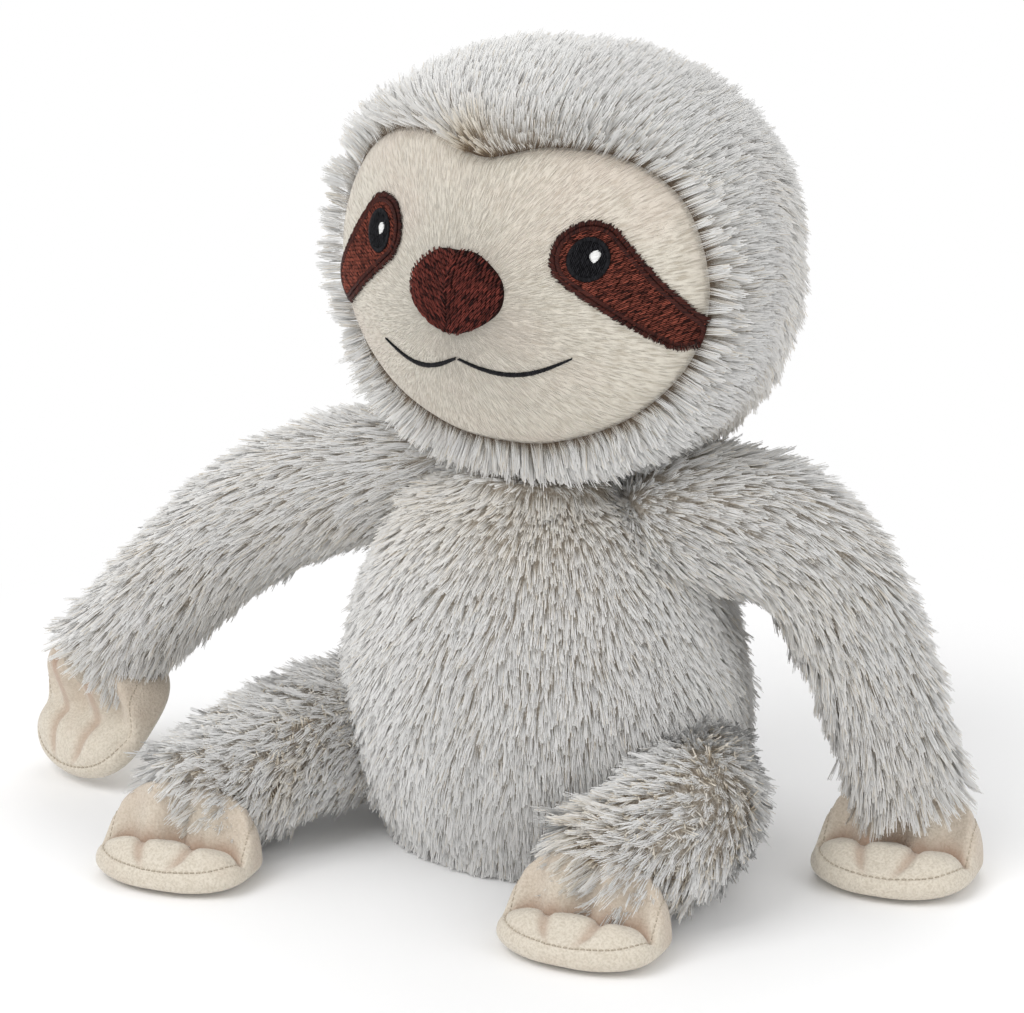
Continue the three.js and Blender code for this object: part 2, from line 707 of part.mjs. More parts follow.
/* The head, as it turns and nods, as an arm that swings under it needs it to be left free. */
function headRoomFor(limb, range) {
  const backwards = xAxis.clone().negate();
  const nodding = sweptRoom(headForm(-headClearance), neckPivot, backwards, nodRange, headSteps);
  const turning = sweptRoom(nodding, neckPivot, zAxis, turnRange, headSteps);
  return sweptRoom(turning, limb.root, backwards, range, carrierSteps);
}

/* The torso and the head, as an arm needs them to be left free. */
function armRoomFor(limb, range) {
  return torsoRoomFor(limb, range).add(headRoomFor(limb, range));
}

addTorso();
addHead();
addEye("right", -1);
addEye("left", 1);
addNose();
addLimb(rightArm, armNames("right"), armRoomFor(rightArm, shoulderRange), wristRange);
addLimb(leftArm, armNames("left"), armRoomFor(leftArm, shoulderRange), wristRange);
addLimb(rightLeg, legNames("right"), torsoRoomFor(rightLeg, hipRange), ankleRange);
addLimb(leftLeg, legNames("left"), torsoRoomFor(leftLeg, hipRange), ankleRange);

export default sloth;
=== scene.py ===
"""A seated plush sloth, dressed over its packed construction.

Metres, +Z up. The toy faces -Y and its own left hand is on +X. Each body gets a padded cover,
and long pile grows from the cover in tufts of tapered strands. Face, hands and feet are velour,
and the eyes, nose and mouth are laid thread by thread.
"""
import json
import logging
import math
from collections.abc import Sequence
from dataclasses import dataclass, field
from enum import Enum

import bpy
import numpy as np
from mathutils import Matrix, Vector


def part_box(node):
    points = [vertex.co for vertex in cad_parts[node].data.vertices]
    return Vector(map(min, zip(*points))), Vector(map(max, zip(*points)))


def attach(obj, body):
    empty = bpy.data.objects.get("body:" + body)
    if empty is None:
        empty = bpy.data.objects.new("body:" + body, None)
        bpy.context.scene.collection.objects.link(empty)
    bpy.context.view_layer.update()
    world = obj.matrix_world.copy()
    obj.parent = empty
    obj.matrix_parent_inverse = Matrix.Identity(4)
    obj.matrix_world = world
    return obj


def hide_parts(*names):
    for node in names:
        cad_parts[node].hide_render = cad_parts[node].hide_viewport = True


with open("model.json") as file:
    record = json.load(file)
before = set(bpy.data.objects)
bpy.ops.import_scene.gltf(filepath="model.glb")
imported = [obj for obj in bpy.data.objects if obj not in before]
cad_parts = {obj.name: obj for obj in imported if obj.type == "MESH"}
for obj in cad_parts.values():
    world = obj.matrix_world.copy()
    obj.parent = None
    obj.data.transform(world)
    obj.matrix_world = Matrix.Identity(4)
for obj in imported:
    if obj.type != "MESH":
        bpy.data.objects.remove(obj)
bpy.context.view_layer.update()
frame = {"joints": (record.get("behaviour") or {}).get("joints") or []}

MM = 0.001
FULL_TURN = 2 * math.pi
TINT_MAP = "OFBake"
MARKS = "marks"
RIPPLE_WAVES = 5
WAVE_SPREAD = (0.6, 1.6)
THREAD_SIDES = 4
SPOKE_SHADING = 0.5
PIECE_FACES = 190_000
WHITE = (1, 1, 1, 1)
Array = np.ndarray
Material = bpy.types.Material
Piece = bpy.types.Object
Triple = tuple[float, float, float]
Pair = tuple[float, float]
chance = np.random.default_rng
log = logging.getLogger("sloth")


class Side(Enum):
    """The toy's own right or left."""

    RIGHT = -1
    LEFT = 1

    @property
    def label(self) -> str:
        """The side's name in piece names."""
        return self.name.lower()


def unit(vectors: Array) -> Array:
    """Vectors scaled to length one."""
    return vectors / np.maximum(np.linalg.norm(vectors, axis=-1, keepdims=True), 1e-12)


def eased(low: float, high: float, values: Array) -> Array:
    """A smooth step from 0 at low to 1 at high: 3 s squared minus 2 s cubed."""
    share = np.clip((values - low) / (high - low), 0, 1)
    return share * share * (3 - 2 * share)


def ripple(points: Array, wave: float, seed: int) -> Array:
    """A smooth random value from about -1 to 1 at each point.

    It is the mean of sine waves that run in seeded directions, each about wave long, times the
    root of 2.

    Args:
        points: places, in metres.
        wave: the mean wavelength.
        seed: the seed of directions and phases.

    Returns:
        One value for each point.
    """
    rng = chance(seed)
    headings = unit(rng.normal(size=(RIPPLE_WAVES, 3)))
    steps = FULL_TURN / (wave * rng.uniform(*WAVE_SPREAD, RIPPLE_WAVES))
    phases = rng.uniform(0, FULL_TURN, RIPPLE_WAVES)
    waves = np.sin(points @ headings.T * steps + phases)
    return waves.mean(axis=-1) * math.sqrt(2)


def turn_about(vectors: Array, axes: Array, angles: Array) -> Array:
    """Vectors turned about unit axes that are square to them: v cos a + (axis x v) sin a."""
    return vectors * np.cos(angles)[:, None] + np.cross(axes, vectors) * np.sin(angles)[:, None]


def turns(count: int) -> Array:
    """Evenly spaced angles over one full turn."""
    return FULL_TURN * np.arange(count) / count


def cos_sin(angles: Array) -> Array:
    """The cosine and the sine of each angle, side by side."""
    return np.stack([np.cos(angles), np.sin(angles)], axis=-1)


def bearing(places: Array) -> Array:
    """The angle of each place, as x and z about a middle, from +x towards +z."""
    return np.arctan2(places[:, 1], places[:, 0])


def mirrored(half: Sequence) -> Array:
    """The points of an outline's right half, and then their mirror images on the left."""
    half = np.array(half)
    return np.vstack([half, half[-2:0:-1] * [-1, 1]])


def reach_at(outline: Array, angles: Array) -> Array:
    """How far a closed outline lies from its middle.

    Args:
        outline: its points, as x and z about the middle.
        angles: directions, from +x towards +z.

    Returns:
        One distance for each angle.
    """
    around = bearing(outline)
    order = np.argsort(around)
    return np.interp(angles, around[order], np.hypot(*outline.T)[order], period=FULL_TURN)


def closed_curve(points: Array, steps: int) -> Array:
    """A smooth closed curve through points, as the uniform Catmull-Rom cubic of each span.

    Args:
        points: the points, in order.
        steps: points made on each span.

    Returns:
        The curve's points.
    """
    before, after = np.roll(points, 1, axis=0), np.roll(points, -1, axis=0)
    beyond = np.roll(points, -2, axis=0)
    share = (np.arange(steps) / steps)[None, :, None]
    start, end = points[:, None], after[:, None]
    slope_in = (after - before)[:, None] / 2
    slope_out = (beyond - points)[:, None] / 2
    cubic = 2 * start - 2 * end + slope_in + slope_out
    square = 3 * (end - start) - 2 * slope_in - slope_out
    curve = start + share * (slope_in + share * (square + share * cubic))
    return curve.reshape(-1, points.shape[1])


def resampled(line: Array, count: int, closed: bool) -> Array:
    """A line's points spaced evenly along its length.

    Args:
        line: points in order.
        count: points wanted.
        closed: whether the last point joins the first.

    Returns:
        The evenly spaced points.
    """
    if closed:
        line = np.vstack([line, line[:1]])
    length = np.concatenate([[0], np.cumsum(np.linalg.norm(np.diff(line, axis=0), axis=1))])
    wanted = np.linspace(0, length[-1], count, endpoint=not closed)
    return np.stack([np.interp(wanted, length, column) for column in line.T], axis=1)


def make_piece(name: str, vertices: Array, faces: list[Array], tint: Array | None = None,
               marks: Array | None = None, shading: Array | None = None) -> Piece:
    """Makes a smooth mesh object at the origin.

    Args:
        name: the piece's name.
        vertices: points, one row each.
        faces: index arrays, one array for each number of corners.
        tint: two values for each vertex, kept in the piece's map.
        marks: one value for each vertex, kept as the attribute that finishes read.
        shading: a unit normal for each vertex, or None for the surface's own.

    Returns:
        The new object.
    """
    mesh = bpy.data.meshes.new(name)
    corners = np.concatenate([group.ravel() for group in faces]).astype(np.int32)
    sizes = np.concatenate([np.full(len(group), group.shape[1]) for group in faces])
    starts = np.concatenate([[0], np.cumsum(sizes)[:-1]]).astype(np.int32)
    mesh.vertices.add(len(vertices))
    mesh.vertices.foreach_set("co", vertices.astype(np.float32).ravel())
    mesh.loops.add(len(corners))
    mesh.loops.foreach_set("vertex_index", corners)
    mesh.polygons.add(len(sizes))
    mesh.polygons.foreach_set("loop_start", starts)
    mesh.polygons.foreach_set("use_smooth", np.ones(len(sizes), bool))
    if tint is not None:
        layer = mesh.uv_layers.new(name=TINT_MAP)
        layer.data.foreach_set("uv", tint[corners].astype(np.float32).ravel())
    if marks is not None:
        layer = mesh.attributes.new(MARKS, "FLOAT", "POINT")
        layer.data.foreach_set("value", marks)
    mesh.update(calc_edges=True)
    mesh.validate()
    if shading is not None:
        mesh.normals_split_custom_set_from_vertices(shading)
    piece = bpy.data.objects.new(name, mesh)
    bpy.context.scene.collection.objects.link(piece)
    log.info("%s: %d faces", name, len(sizes))
    return piece


def grid_faces(rows: int, columns: int) -> Array:
    """Quads of a grid whose columns close on themselves.

    Args:
        rows: the grid's rows.
        columns: its columns.

    Returns:
        Four corners for each quad, counted row by row.
    """
    row, column = np.meshgrid(np.arange(rows - 1), np.arange(columns), indexing="ij")
    after = (column + 1) % columns
    quads = [row * columns + column, row * columns + after,
             (row + 1) * columns + after, (row + 1) * columns + column]
    return np.stack(quads, axis=-1).reshape(-1, 4)


def shell(name: str, rings: Array, marks: Array | None = None) -> Piece:
    """A closed skin over rings, with a point at the middle of each end ring.

    Args:
        name: the piece's name.
        rings: rows by columns by 3 points; each row is a closed ring.
        marks: one value for each ring point, or None.

    Returns:
        The new object, its faces outwards.
    """
    rows, columns, _ = rings.shape
    poles = np.stack([rings[0].mean(axis=0), rings[-1].mean(axis=0)])
    vertices = np.vstack([rings.reshape(-1, 3), poles])
    column = np.arange(columns)
    after = (column + 1) % columns
    start, end = rows * columns, rows * columns + 1
    last = (rows - 1) * columns
    first_fan = np.stack([after, column, np.full(columns, start)], axis=1)
    last_fan = np.stack([last + column, last + after, np.full(columns, end)], axis=1)
    quads, fans = grid_faces(rows, columns), np.vstack([first_fan, last_fan])
    halves = np.vstack([quads[:, [0, 1, 2]], quads[:, [0, 2, 3]], fans])
    a, b, c = (vertices[halves[:, corner]] for corner in range(3))
    if np.einsum("ij,ij->i", a, np.cross(b, c)).sum() < 0:
        quads, fans = quads[:, ::-1], fans[:, ::-1]
    if marks is not None:
        marks = np.concatenate([marks.ravel(), [marks[0].mean(), marks[-1].mean()]])
    return make_piece(name, vertices, [quads, fans], marks=marks)


def dress(piece: Piece, finish: Material, body: str,
          nodes: Sequence[str] = ()) -> None:
    """Gives a piece its finish and its place in the frame.

    Args:
        piece: the new piece.
        finish: its material.
        body: the body that it rides on.
        nodes: the CAD nodes that it stands for.
    """
    piece.data.materials.append(finish)
    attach(piece, body)
    if nodes:
        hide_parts(*nodes)


def laid_threads(name: str, lines: Array, radii: Array, ups: Array, tones: Array) -> Piece:
    """Many thin four-sided threads in one mesh, cut flat at both ends.

    Each ring is the line's point plus its radius times (side cos a + up sin a).

    Args:
        name: the piece's name.
        lines: threads by stations by 3 points.
        radii: threads by stations.
        ups: one vector for each thread, never along it.
        tones: one value for each thread, kept as the map's first value. The second is the share
            of the way along the thread.

    Returns:
        The new object.
    """
    count, stations, _ = lines.shape
    along = unit(np.gradient(lines, axis=1))
    side = unit(np.cross(along, ups[:, None, :]))
    up = np.cross(along, side)
    angle = turns(THREAD_SIDES)[:, None]
    spokes = side[:, :, None] * np.cos(angle) + up[:, :, None] * np.sin(angle)
    tubes = lines[:, :, None] + spokes * radii[..., None, None]
    corner = np.arange(THREAD_SIDES)
    after = (corner + 1) % THREAD_SIDES
    starts = (np.arange(stations - 1) * THREAD_SIDES)[:, None]
    quads = np.stack([starts + corner, starts + after, starts + THREAD_SIDES + after,
                      starts + THREAD_SIDES + corner], axis=-1).reshape(-1, THREAD_SIDES)
    first_cap = corner[None, ::-1]
    last_cap = (stations - 1) * THREAD_SIDES + corner[None]
    size = stations * THREAD_SIDES
    offsets = (np.arange(count) * size)[:, None, None]
    faces = [(group[None] + offsets).reshape(-1, THREAD_SIDES)
             for group in (quads, first_cap, last_cap)]
    shares = np.repeat(np.linspace(0, 1, stations), THREAD_SIDES)
    tint = np.stack([np.repeat(tones, size), np.tile(shares, count)], axis=1)
    return make_piece(name, tubes.reshape(-1, 3), faces, tint)


def cut_strands(name: str, roots: Array, tips: Array, radii: Array, normals: Array,
                tones: Array) -> Piece:
    """Many straight strands in one mesh, each pointed at its root and cut flat at its tip.

    The cut end is the tip plus the radius times (side cos a + up sin a), at three angles. The
    strands are shaded mostly by the normal of the skin that they grow from.

    Args:
        name: the piece's name.
        roots: where each strand starts.
        tips: where each strand ends.
        radii: one for each strand, at its tip.
        normals: the skin's unit normal for each strand.
        tones: one value for each strand, kept as the map's first value. The second is the share
            of the way from root to tip.

    Returns:
        The new object.
    """
    count = len(roots)
    along = unit(tips - roots)
    side = unit(np.cross(along, normals))
    up = np.cross(side, along)
    angle = np.radians([90, 210, 330])[None, :, None]
    spokes = side[:, None] * np.cos(angle) + up[:, None] * np.sin(angle)
    cut = tips[:, None] + spokes * radii[:, None, None]
    points = np.concatenate([roots[:, None], cut], axis=1)
    soft = unit(normals[:, None] + SPOKE_SHADING * spokes)
    shading = np.concatenate([normals[:, None], soft], axis=1)
    fans = np.array([[0, 1, 2], [0, 2, 3], [0, 3, 1], [1, 3, 2]])
    faces = (fans[None] + (np.arange(count) * 4)[:, None, None]).reshape(-1, 3)
    tint = np.stack([np.repeat(tones, 4), np.tile([0.0, 1, 1, 1], count)], axis=1)
    return make_piece(name, points.reshape(-1, 3), [faces], tint, shading=shading.reshape(-1, 3))


class Wire:
    """A shader socket that takes part in arithmetic: each operator adds one Math node."""

    def __init__(self, recipe: "Recipe", socket: bpy.types.NodeSocket) -> None:
        """Wraps one output socket of a recipe's tree."""
        self.recipe = recipe
        self.socket = socket

    def _math(self, operation: str, first: "Wire | float", second: "Wire | float") -> "Wire":
        """One Math node on two values."""
        return self.recipe.out("ShaderNodeMath", {"operation": operation}, {0: first, 1: second})

    def __add__(self, other: "Wire | float") -> "Wire":
        """Their sum."""
        return self._math("ADD", self, other)

    def __sub__(self, other: "Wire | float") -> "Wire":
        """Their difference."""
        return self._math("SUBTRACT", self, other)

    def __rsub__(self, other: float) -> "Wire":
        """A number less this."""
        return self._math("SUBTRACT", other, self)

    def __mul__(self, other: "Wire | float") -> "Wire":
        """Their product."""
        return self._math("MULTIPLY", self, other)

    def __truediv__(self, other: "Wire | float") -> "Wire":
        """Their quotient."""
        return self._math("DIVIDE", self, other)

    def __pow__(self, other: float) -> "Wire":
        """This to a power."""
        return self._math("POWER", self, other)

    __radd__ = __add__
    __rmul__ = __mul__

    def step(self, low: float, high: float) -> "Wire":
        """A smooth step from 0 at low to 1 at high."""
        return self.recipe.out("ShaderNodeMapRange", {"interpolation_type": "SMOOTHSTEP"},
                               {"Value": self, "From Min": low, "From Max": high})


class Recipe:
    """The node tree of a material or a world, put together from a few calls."""

    def __init__(self, name: str, world: bool = False) -> None:
        """Starts the empty tree of a new material, or of a new world."""
        self.owner = (bpy.data.worlds if world else bpy.data.materials).new(name)
        self.owner.use_nodes = True
        self.tree = self.owner.node_tree
        self.tree.nodes.clear()

    def node(self, kind: str, settings: dict | None = None,
             inputs: dict | None = None) -> bpy.types.Node:
        """Adds one node.

        Args:
            kind: the node's type.
            settings: its properties, set first; stops are a ramp's positions and colours.
            inputs: values or wires, by socket name or number.

        Returns:
            The node.
        """
        node = self.tree.nodes.new(kind)
        for key, value in (settings or {}).items():
            if key == "stops":
                self._set_stops(node.color_ramp, value)
            else:
                setattr(node, key, value)
        for key, value in (inputs or {}).items():
            if isinstance(value, Wire):
                self.tree.links.new(value.socket, node.inputs[key])
            else:
                node.inputs[key].default_value = value
        return node

    def _set_stops(self, ramp: bpy.types.ColorRamp, stops: tuple) -> None:
        """Gives a ramp its positions and colours."""
        while len(ramp.elements) < len(stops):
            ramp.elements.new(1)
        for element, (place, colour) in zip(ramp.elements, stops):
            element.position = place
            element.color = (*colour, 1)

    def out(self, kind: str, settings: dict | None = None, inputs: dict | None = None,
            output: str | int = 0) -> Wire:
        """Adds one node and gives back one of its outputs."""
        return Wire(self, self.node(kind, settings, inputs).outputs[output])

    def blend(self, factor: "Wire | float", first: "Wire | tuple", second: "Wire | tuple",
              mode: str = "MIX") -> Wire:
        """A mix of two colours."""
        settings = {"data_type": "RGBA", "blend_type": mode}
        colours = [value if isinstance(value, Wire) else (*value, 1) for value in (first, second)]
        return self.out("ShaderNodeMix", settings, {0: factor, 6: colours[0], 7: colours[1]}, 2)

    def noise(self, vector: Wire, scale: float, detail: float = 2, rough: float = 0.5) -> Wire:
        """Noise from 0 to 1."""
        inputs = {"Vector": vector, "Scale": scale, "Detail": detail, "Roughness": rough}
        return self.out("ShaderNodeTexNoise", None, inputs)

    def place(self) -> Wire:
        """Object coordinates, in metres."""
        return self.out("ShaderNodeTexCoord", None, None, "Object")

    def marks(self) -> Wire:
        """The piece's own marks, 0 where it has none."""
        return self.out("ShaderNodeAttribute", {"attribute_name": MARKS}, None, "Fac")

    def tint(self) -> tuple[Wire, Wire]:
        """The tone of a strand or thread, and the share of the way along it."""
        tone, share, _ = self.parts(self.out("ShaderNodeUVMap", {"uv_map": TINT_MAP}))
        return tone, share

    def seen(self) -> Wire:
        """1 where the camera looks straight at the place, and 0 elsewhere."""
        return self.out("ShaderNodeLightPath", None, None, "Is Camera Ray")

    def vector(self, operation: str, first: Wire, second: "Wire | tuple") -> Wire:
        """A Vector Math node."""
        return self.out("ShaderNodeVectorMath", {"operation": operation}, {0: first, 1: second})

    def parts(self, vector: Wire) -> tuple[Wire, Wire, Wire]:
        """A vector's three values."""
        node = self.node("ShaderNodeSeparateXYZ", None, {0: vector})
        return tuple(Wire(self, output) for output in node.outputs)

    def join(self, x: "Wire | float", y: "Wire | float", z: "Wire | float") -> Wire:
        """A vector of three values."""
        return self.out("ShaderNodeCombineXYZ", None, {0: x, 1: y, 2: z})

    def bump(self, height: Wire, strength: float, distance: float) -> Wire:
        """A normal bent by a height."""
        inputs = {"Strength": strength, "Distance": distance, "Height": height}
        return self.out("ShaderNodeBump", None, inputs)

    def finish(self, **inputs: "Wire | float") -> Material:
        """Ends the tree in one Principled shader, its sockets named with _ for a space."""
        named = {key.replace("_", " "): value for key, value in inputs.items()}
        shader = self.out("ShaderNodeBsdfPrincipled", None, named)
        self.node("ShaderNodeOutputMaterial", None, {0: shader})
        return self.owner


@dataclass(frozen=True)
class PileFinish:
    """Long pile: brown at the root and pale at the tip, each strand a little apart."""

    name: str = "long_pile"
    ramp: tuple = ((0.0, (0.13, 0.090, 0.055)), (0.17, (0.30, 0.235, 0.165)),
                   (0.36, (0.60, 0.55, 0.475)), (0.56, (0.76, 0.745, 0.715)),
                   (0.85, (0.83, 0.825, 0.81)))
    usual_tone: float = 0.5
    shift: float = 0.8
    warm: Triple = (0.92, 0.83, 0.69)
    warm_tones: Pair = (0.1, 0.8)
    warmth: float = 0.75

    def material(self) -> Material:
        """A ramp from root to tip, moved out by the strand's tone and warmed by it."""
        recipe = Recipe(self.name)
        tone, share = recipe.tint()
        moved = share - (tone - self.usual_tone) * self.shift
        colour = recipe.out("ShaderNodeValToRGB", {"stops": self.ramp}, {"Fac": moved})
        warmth = tone.step(*self.warm_tones) * self.warmth
        colour = recipe.blend(warmth, colour, self.warm, "MULTIPLY")
        return recipe.finish(Base_Color=colour, Roughness=0.7, Specular_IOR_Level=0.18,
                             Sheen_Weight=0.1, Sheen_Roughness=0.5)


@dataclass(frozen=True)
class BackingFinish:
    """The knitted cloth that the pile grows from, seen only between the tufts."""

    name: str = "pile_backing"
    dark: Triple = (0.2, 0.155, 0.11)
    pale: Triple = (0.48, 0.42, 0.35)
    # The colour of painted shade, laid where a piece is marked.
    seam: Triple = (0.09, 0.062, 0.04)
    knit: float = 900
    specks: Pair = (0.4, 0.75)
    relief: float = 0.8 * MM

    def material(self) -> Material:
        """Fine paler specks, and painted shade, in a dark seam colour, where the piece is marked.
        """
        recipe = Recipe(self.name)
        grain = recipe.noise(recipe.place(), self.knit, 3)
        colour = recipe.blend(grain.step(*self.specks), self.dark, self.pale)
        # Painted shade where the piece is marked.
        colour = recipe.blend(recipe.marks(), colour, self.seam)
        return recipe.finish(Base_Color=colour, Roughness=0.95,
                             Normal=recipe.bump(grain, 0.6, self.relief))


@dataclass(frozen=True)
class VelourFinish:
    """Short pile velour. Its nap runs outwards from a middle point."""

    name: str = "velour"
    pale: Triple = (0.68, 0.635, 0.55)
    shade: Triple = (0.40, 0.35, 0.275)
    blush: Triple = (0.64, 0.54, 0.465)
    middle: Triple = (0.0, -0.05, 0.18)
    ray: float = 95
    run: float = 330
    streaks: Pair = (0.2, 0.75)
    grain: float = 2600
    grain_share: float = 0.3
    contrast: Pair = (-0.1, 0.75)
    blotch: float = 26
    blotches: Pair = (0.42, 0.72)
    blotch_share: float = 0.45
    relief: float = 0.8 * MM

    def material(self) -> Material:
        """Fine streaks of noise along the nap, over a slow change of tone.

        The nap's coordinates are the direction from the middle, times ray, and the distance from
        it, times run.
        """
        recipe = Recipe(self.name)
        place = recipe.place()
        x, _, z = recipe.parts(recipe.vector("SUBTRACT", place, self.middle))
        reach = (x * x + z * z + 1e-6) ** 0.5
        nap = recipe.join(x / reach * self.ray, reach * self.run, z / reach * self.ray)
        streaks = recipe.noise(nap, 1, 1).step(*self.streaks)
        grain = recipe.noise(place, self.grain)
        slow = recipe.noise(place, self.blotch).step(*self.blotches)
        depth = streaks * (1 - self.grain_share) + grain * self.grain_share
        colour = recipe.blend(depth.step(*self.contrast), self.shade, self.pale)
        colour = recipe.blend(slow * self.blotch_share, colour, self.blush)
        return recipe.finish(Base_Color=colour, Roughness=0.88, Specular_IOR_Level=0.15,
                             Sheen_Weight=0.25, Sheen_Roughness=0.45,
                             Normal=recipe.bump(depth, 0.9, self.relief))


@dataclass(frozen=True)
class TowelFinish:
    """Looped short pile, as hands and feet have: even and pale, with painted rosy shade in the
    creases.
    """

    name: str = "mitt_velour"
    pale: Triple = (0.72, 0.66, 0.565)
    shade: Triple = (0.54, 0.48, 0.39)
    crease: Triple = (0.40, 0.26, 0.185)
    loop: float = 1300
    loops: Pair = (0.3, 0.65)
    clump: float = 420
    clump_share: float = 0.3
    clump_relief: float = 0.4
    crease_share: float = 0.75
    blotch: float = 60
    blotches: Pair = (0.5, 0.8)
    blotch_share: float = 0.16
    relief: float = 0.9 * MM

    def material(self) -> Material:
        """Small soft loops, over a slow change towards the creases' tone, and painted shade where
        the piece is marked.
        """
        recipe = Recipe(self.name)
        place = recipe.place()
        loops = recipe.noise(place, self.loop, 2, 0.6)
        clumps = recipe.noise(place, self.clump)
        slow = recipe.noise(place, self.blotch).step(*self.blotches)
        depth = loops.step(*self.loops) * (1 - self.clump_share) + clumps * self.clump_share
        colour = recipe.blend(depth, self.shade, self.pale)
        # Painted shade where marked, plus random slow blotches of the same colour.
        shade_and_blotches = recipe.marks() * self.crease_share + slow * self.blotch_share
        colour = recipe.blend(shade_and_blotches, colour, self.crease)
        height = loops * (1 - self.clump_relief) + clumps * self.clump_relief
        return recipe.finish(Base_Color=colour, Roughness=0.92, Specular_IOR_Level=0.12,
                             Sheen_Weight=0.25, Sheen_Roughness=0.5,
                             Normal=recipe.bump(height, 0.8, self.relief))


@dataclass(frozen=True)
class ThreadFinish:
    """Embroidery thread with a soft shine."""

    name: str
    dark: Triple
    pale: Triple
    gloss: float = 0.42
    toning: float = 0.9
    # Painted shade at the thread's ends.
    dip: float = 0.4

    def material(self) -> Material:
        """Each stitch has its own tone, and painted shade darkens it where it dips into the
        cloth.
        """
        recipe = Recipe(self.name)
        tone, share = recipe.tint()
        crown = share * (1 - share) * 4
        light = tone * self.toning + crown * self.dip - self.dip
        colour = recipe.blend(light, self.dark, self.pale)
        return recipe.finish(Base_Color=colour, Roughness=self.gloss, Specular_IOR_Level=0.16)


@dataclass(frozen=True)
class FeltFinish:
    """The ground under the stitches: one colour with a fine grain."""

    name: str
    dark: Triple
    pale: Triple
    grain: float = 1500
    specks: Pair = (0.3, 0.7)
    relief: float = 0.5 * MM

    def material(self) -> Material:
        """Specks of two tones and a fine bump."""
        recipe = Recipe(self.name)
        specks = recipe.noise(recipe.place(), self.grain, 3, 0.6)
        colour = recipe.blend(specks.step(*self.specks), self.dark, self.pale)
        return recipe.finish(Base_Color=colour, Roughness=0.85, Specular_IOR_Level=0.1,
                             Normal=recipe.bump(specks, 0.7, self.relief))


@dataclass
class Skin:
    """A surface as a grid of points whose columns close on themselves.

    Rows run the way that the pile lies. The first row of tufts, the gap between rows and the
    jitter are in spacings.
    """

    points: Array
    first_row: float = 0.3
    row_gap: float = 0.87
    jitter: float = 0.42
    normals: Array = field(init=False)
    along: Array = field(init=False)

    def __post_init__(self) -> None:
        """Works out the tangent along the rows, and the normal, at each point."""
        self.along = unit(np.gradient(self.points, axis=0))
        around = np.roll(self.points, -1, axis=1) - np.roll(self.points, 1, axis=1)
        self.normals = unit(np.cross(around, self.along))
        outward = self.points - self.points.mean(axis=(0, 1))
        if np.einsum("ijk,ijk->", self.normals, outward) < 0:
            self.normals = -self.normals

    def at(self, rows: Array, columns: Array, values: Array) -> Array:
        """A grid's values at fractional rows and columns, mixed from the four neighbours.

        Args:
            rows: one fractional row for each place.
            columns: one fractional column for each place.
            values: a grid of vectors.

        Returns:
            One vector for each place.
        """
        low = np.clip(np.floor(rows).astype(int), 0, len(values) - 2)
        first = np.floor(columns).astype(int) % values.shape[1]
        second = (first + 1) % values.shape[1]
        down, across = (rows - low)[:, None], (columns - np.floor(columns))[:, None]
        upper = values[low, first] * (1 - across) + values[low, second] * across
        lower = values[low + 1, first] * (1 - across) + values[low + 1, second] * across
        return upper * (1 - down) + lower * down

    def scatter(self, spacing: float, rng: np.random.Generator) -> tuple:
        """Places in even rows over the surface, each moved a little at random.

        Args:
            spacing: the distance between places.
            rng: the source of chance.

        Returns:
            Points, unit normals, unit tangents along the rows, and distances from the first row.
        """
        rows, columns, _ = self.points.shape
        steps = np.linalg.norm(np.diff(self.points, axis=0), axis=2).mean(axis=1)
        length = np.concatenate([[0], np.cumsum(steps)])
        lines = np.arange(spacing * self.first_row, length[-1], spacing * self.row_gap)
        row_places = np.interp(lines, length, np.arange(rows))
        girths = np.linalg.norm(self.points - np.roll(self.points, 1, axis=1), axis=2).sum(axis=1)
        counts = np.maximum(np.rint(np.interp(row_places, np.arange(rows), girths) / spacing), 3)
        counts = counts.astype(int)
        total = counts.sum()
        row = np.repeat(row_places, counts)
        order = np.arange(total) - np.repeat(np.cumsum(counts) - counts, counts)
        shift = np.repeat(rng.uniform(0, 1, len(counts)), counts)
        jitter = rng.uniform(-self.jitter, self.jitter, (2, total))
        column = (order + shift + jitter[0]) / np.repeat(counts, counts) * columns
        row_step = np.interp(row, np.arange(rows), np.gradient(length))
        row = np.clip(row + jitter[1] * spacing / row_step, 0, rows - 1.001)
        column = column % columns
        grids = (self.points, self.normals, self.along)
        points, normals, along = (self.at(row, column, grid) for grid in grids)
        return points, unit(normals), unit(along), np.interp(row, np.arange(rows), length)


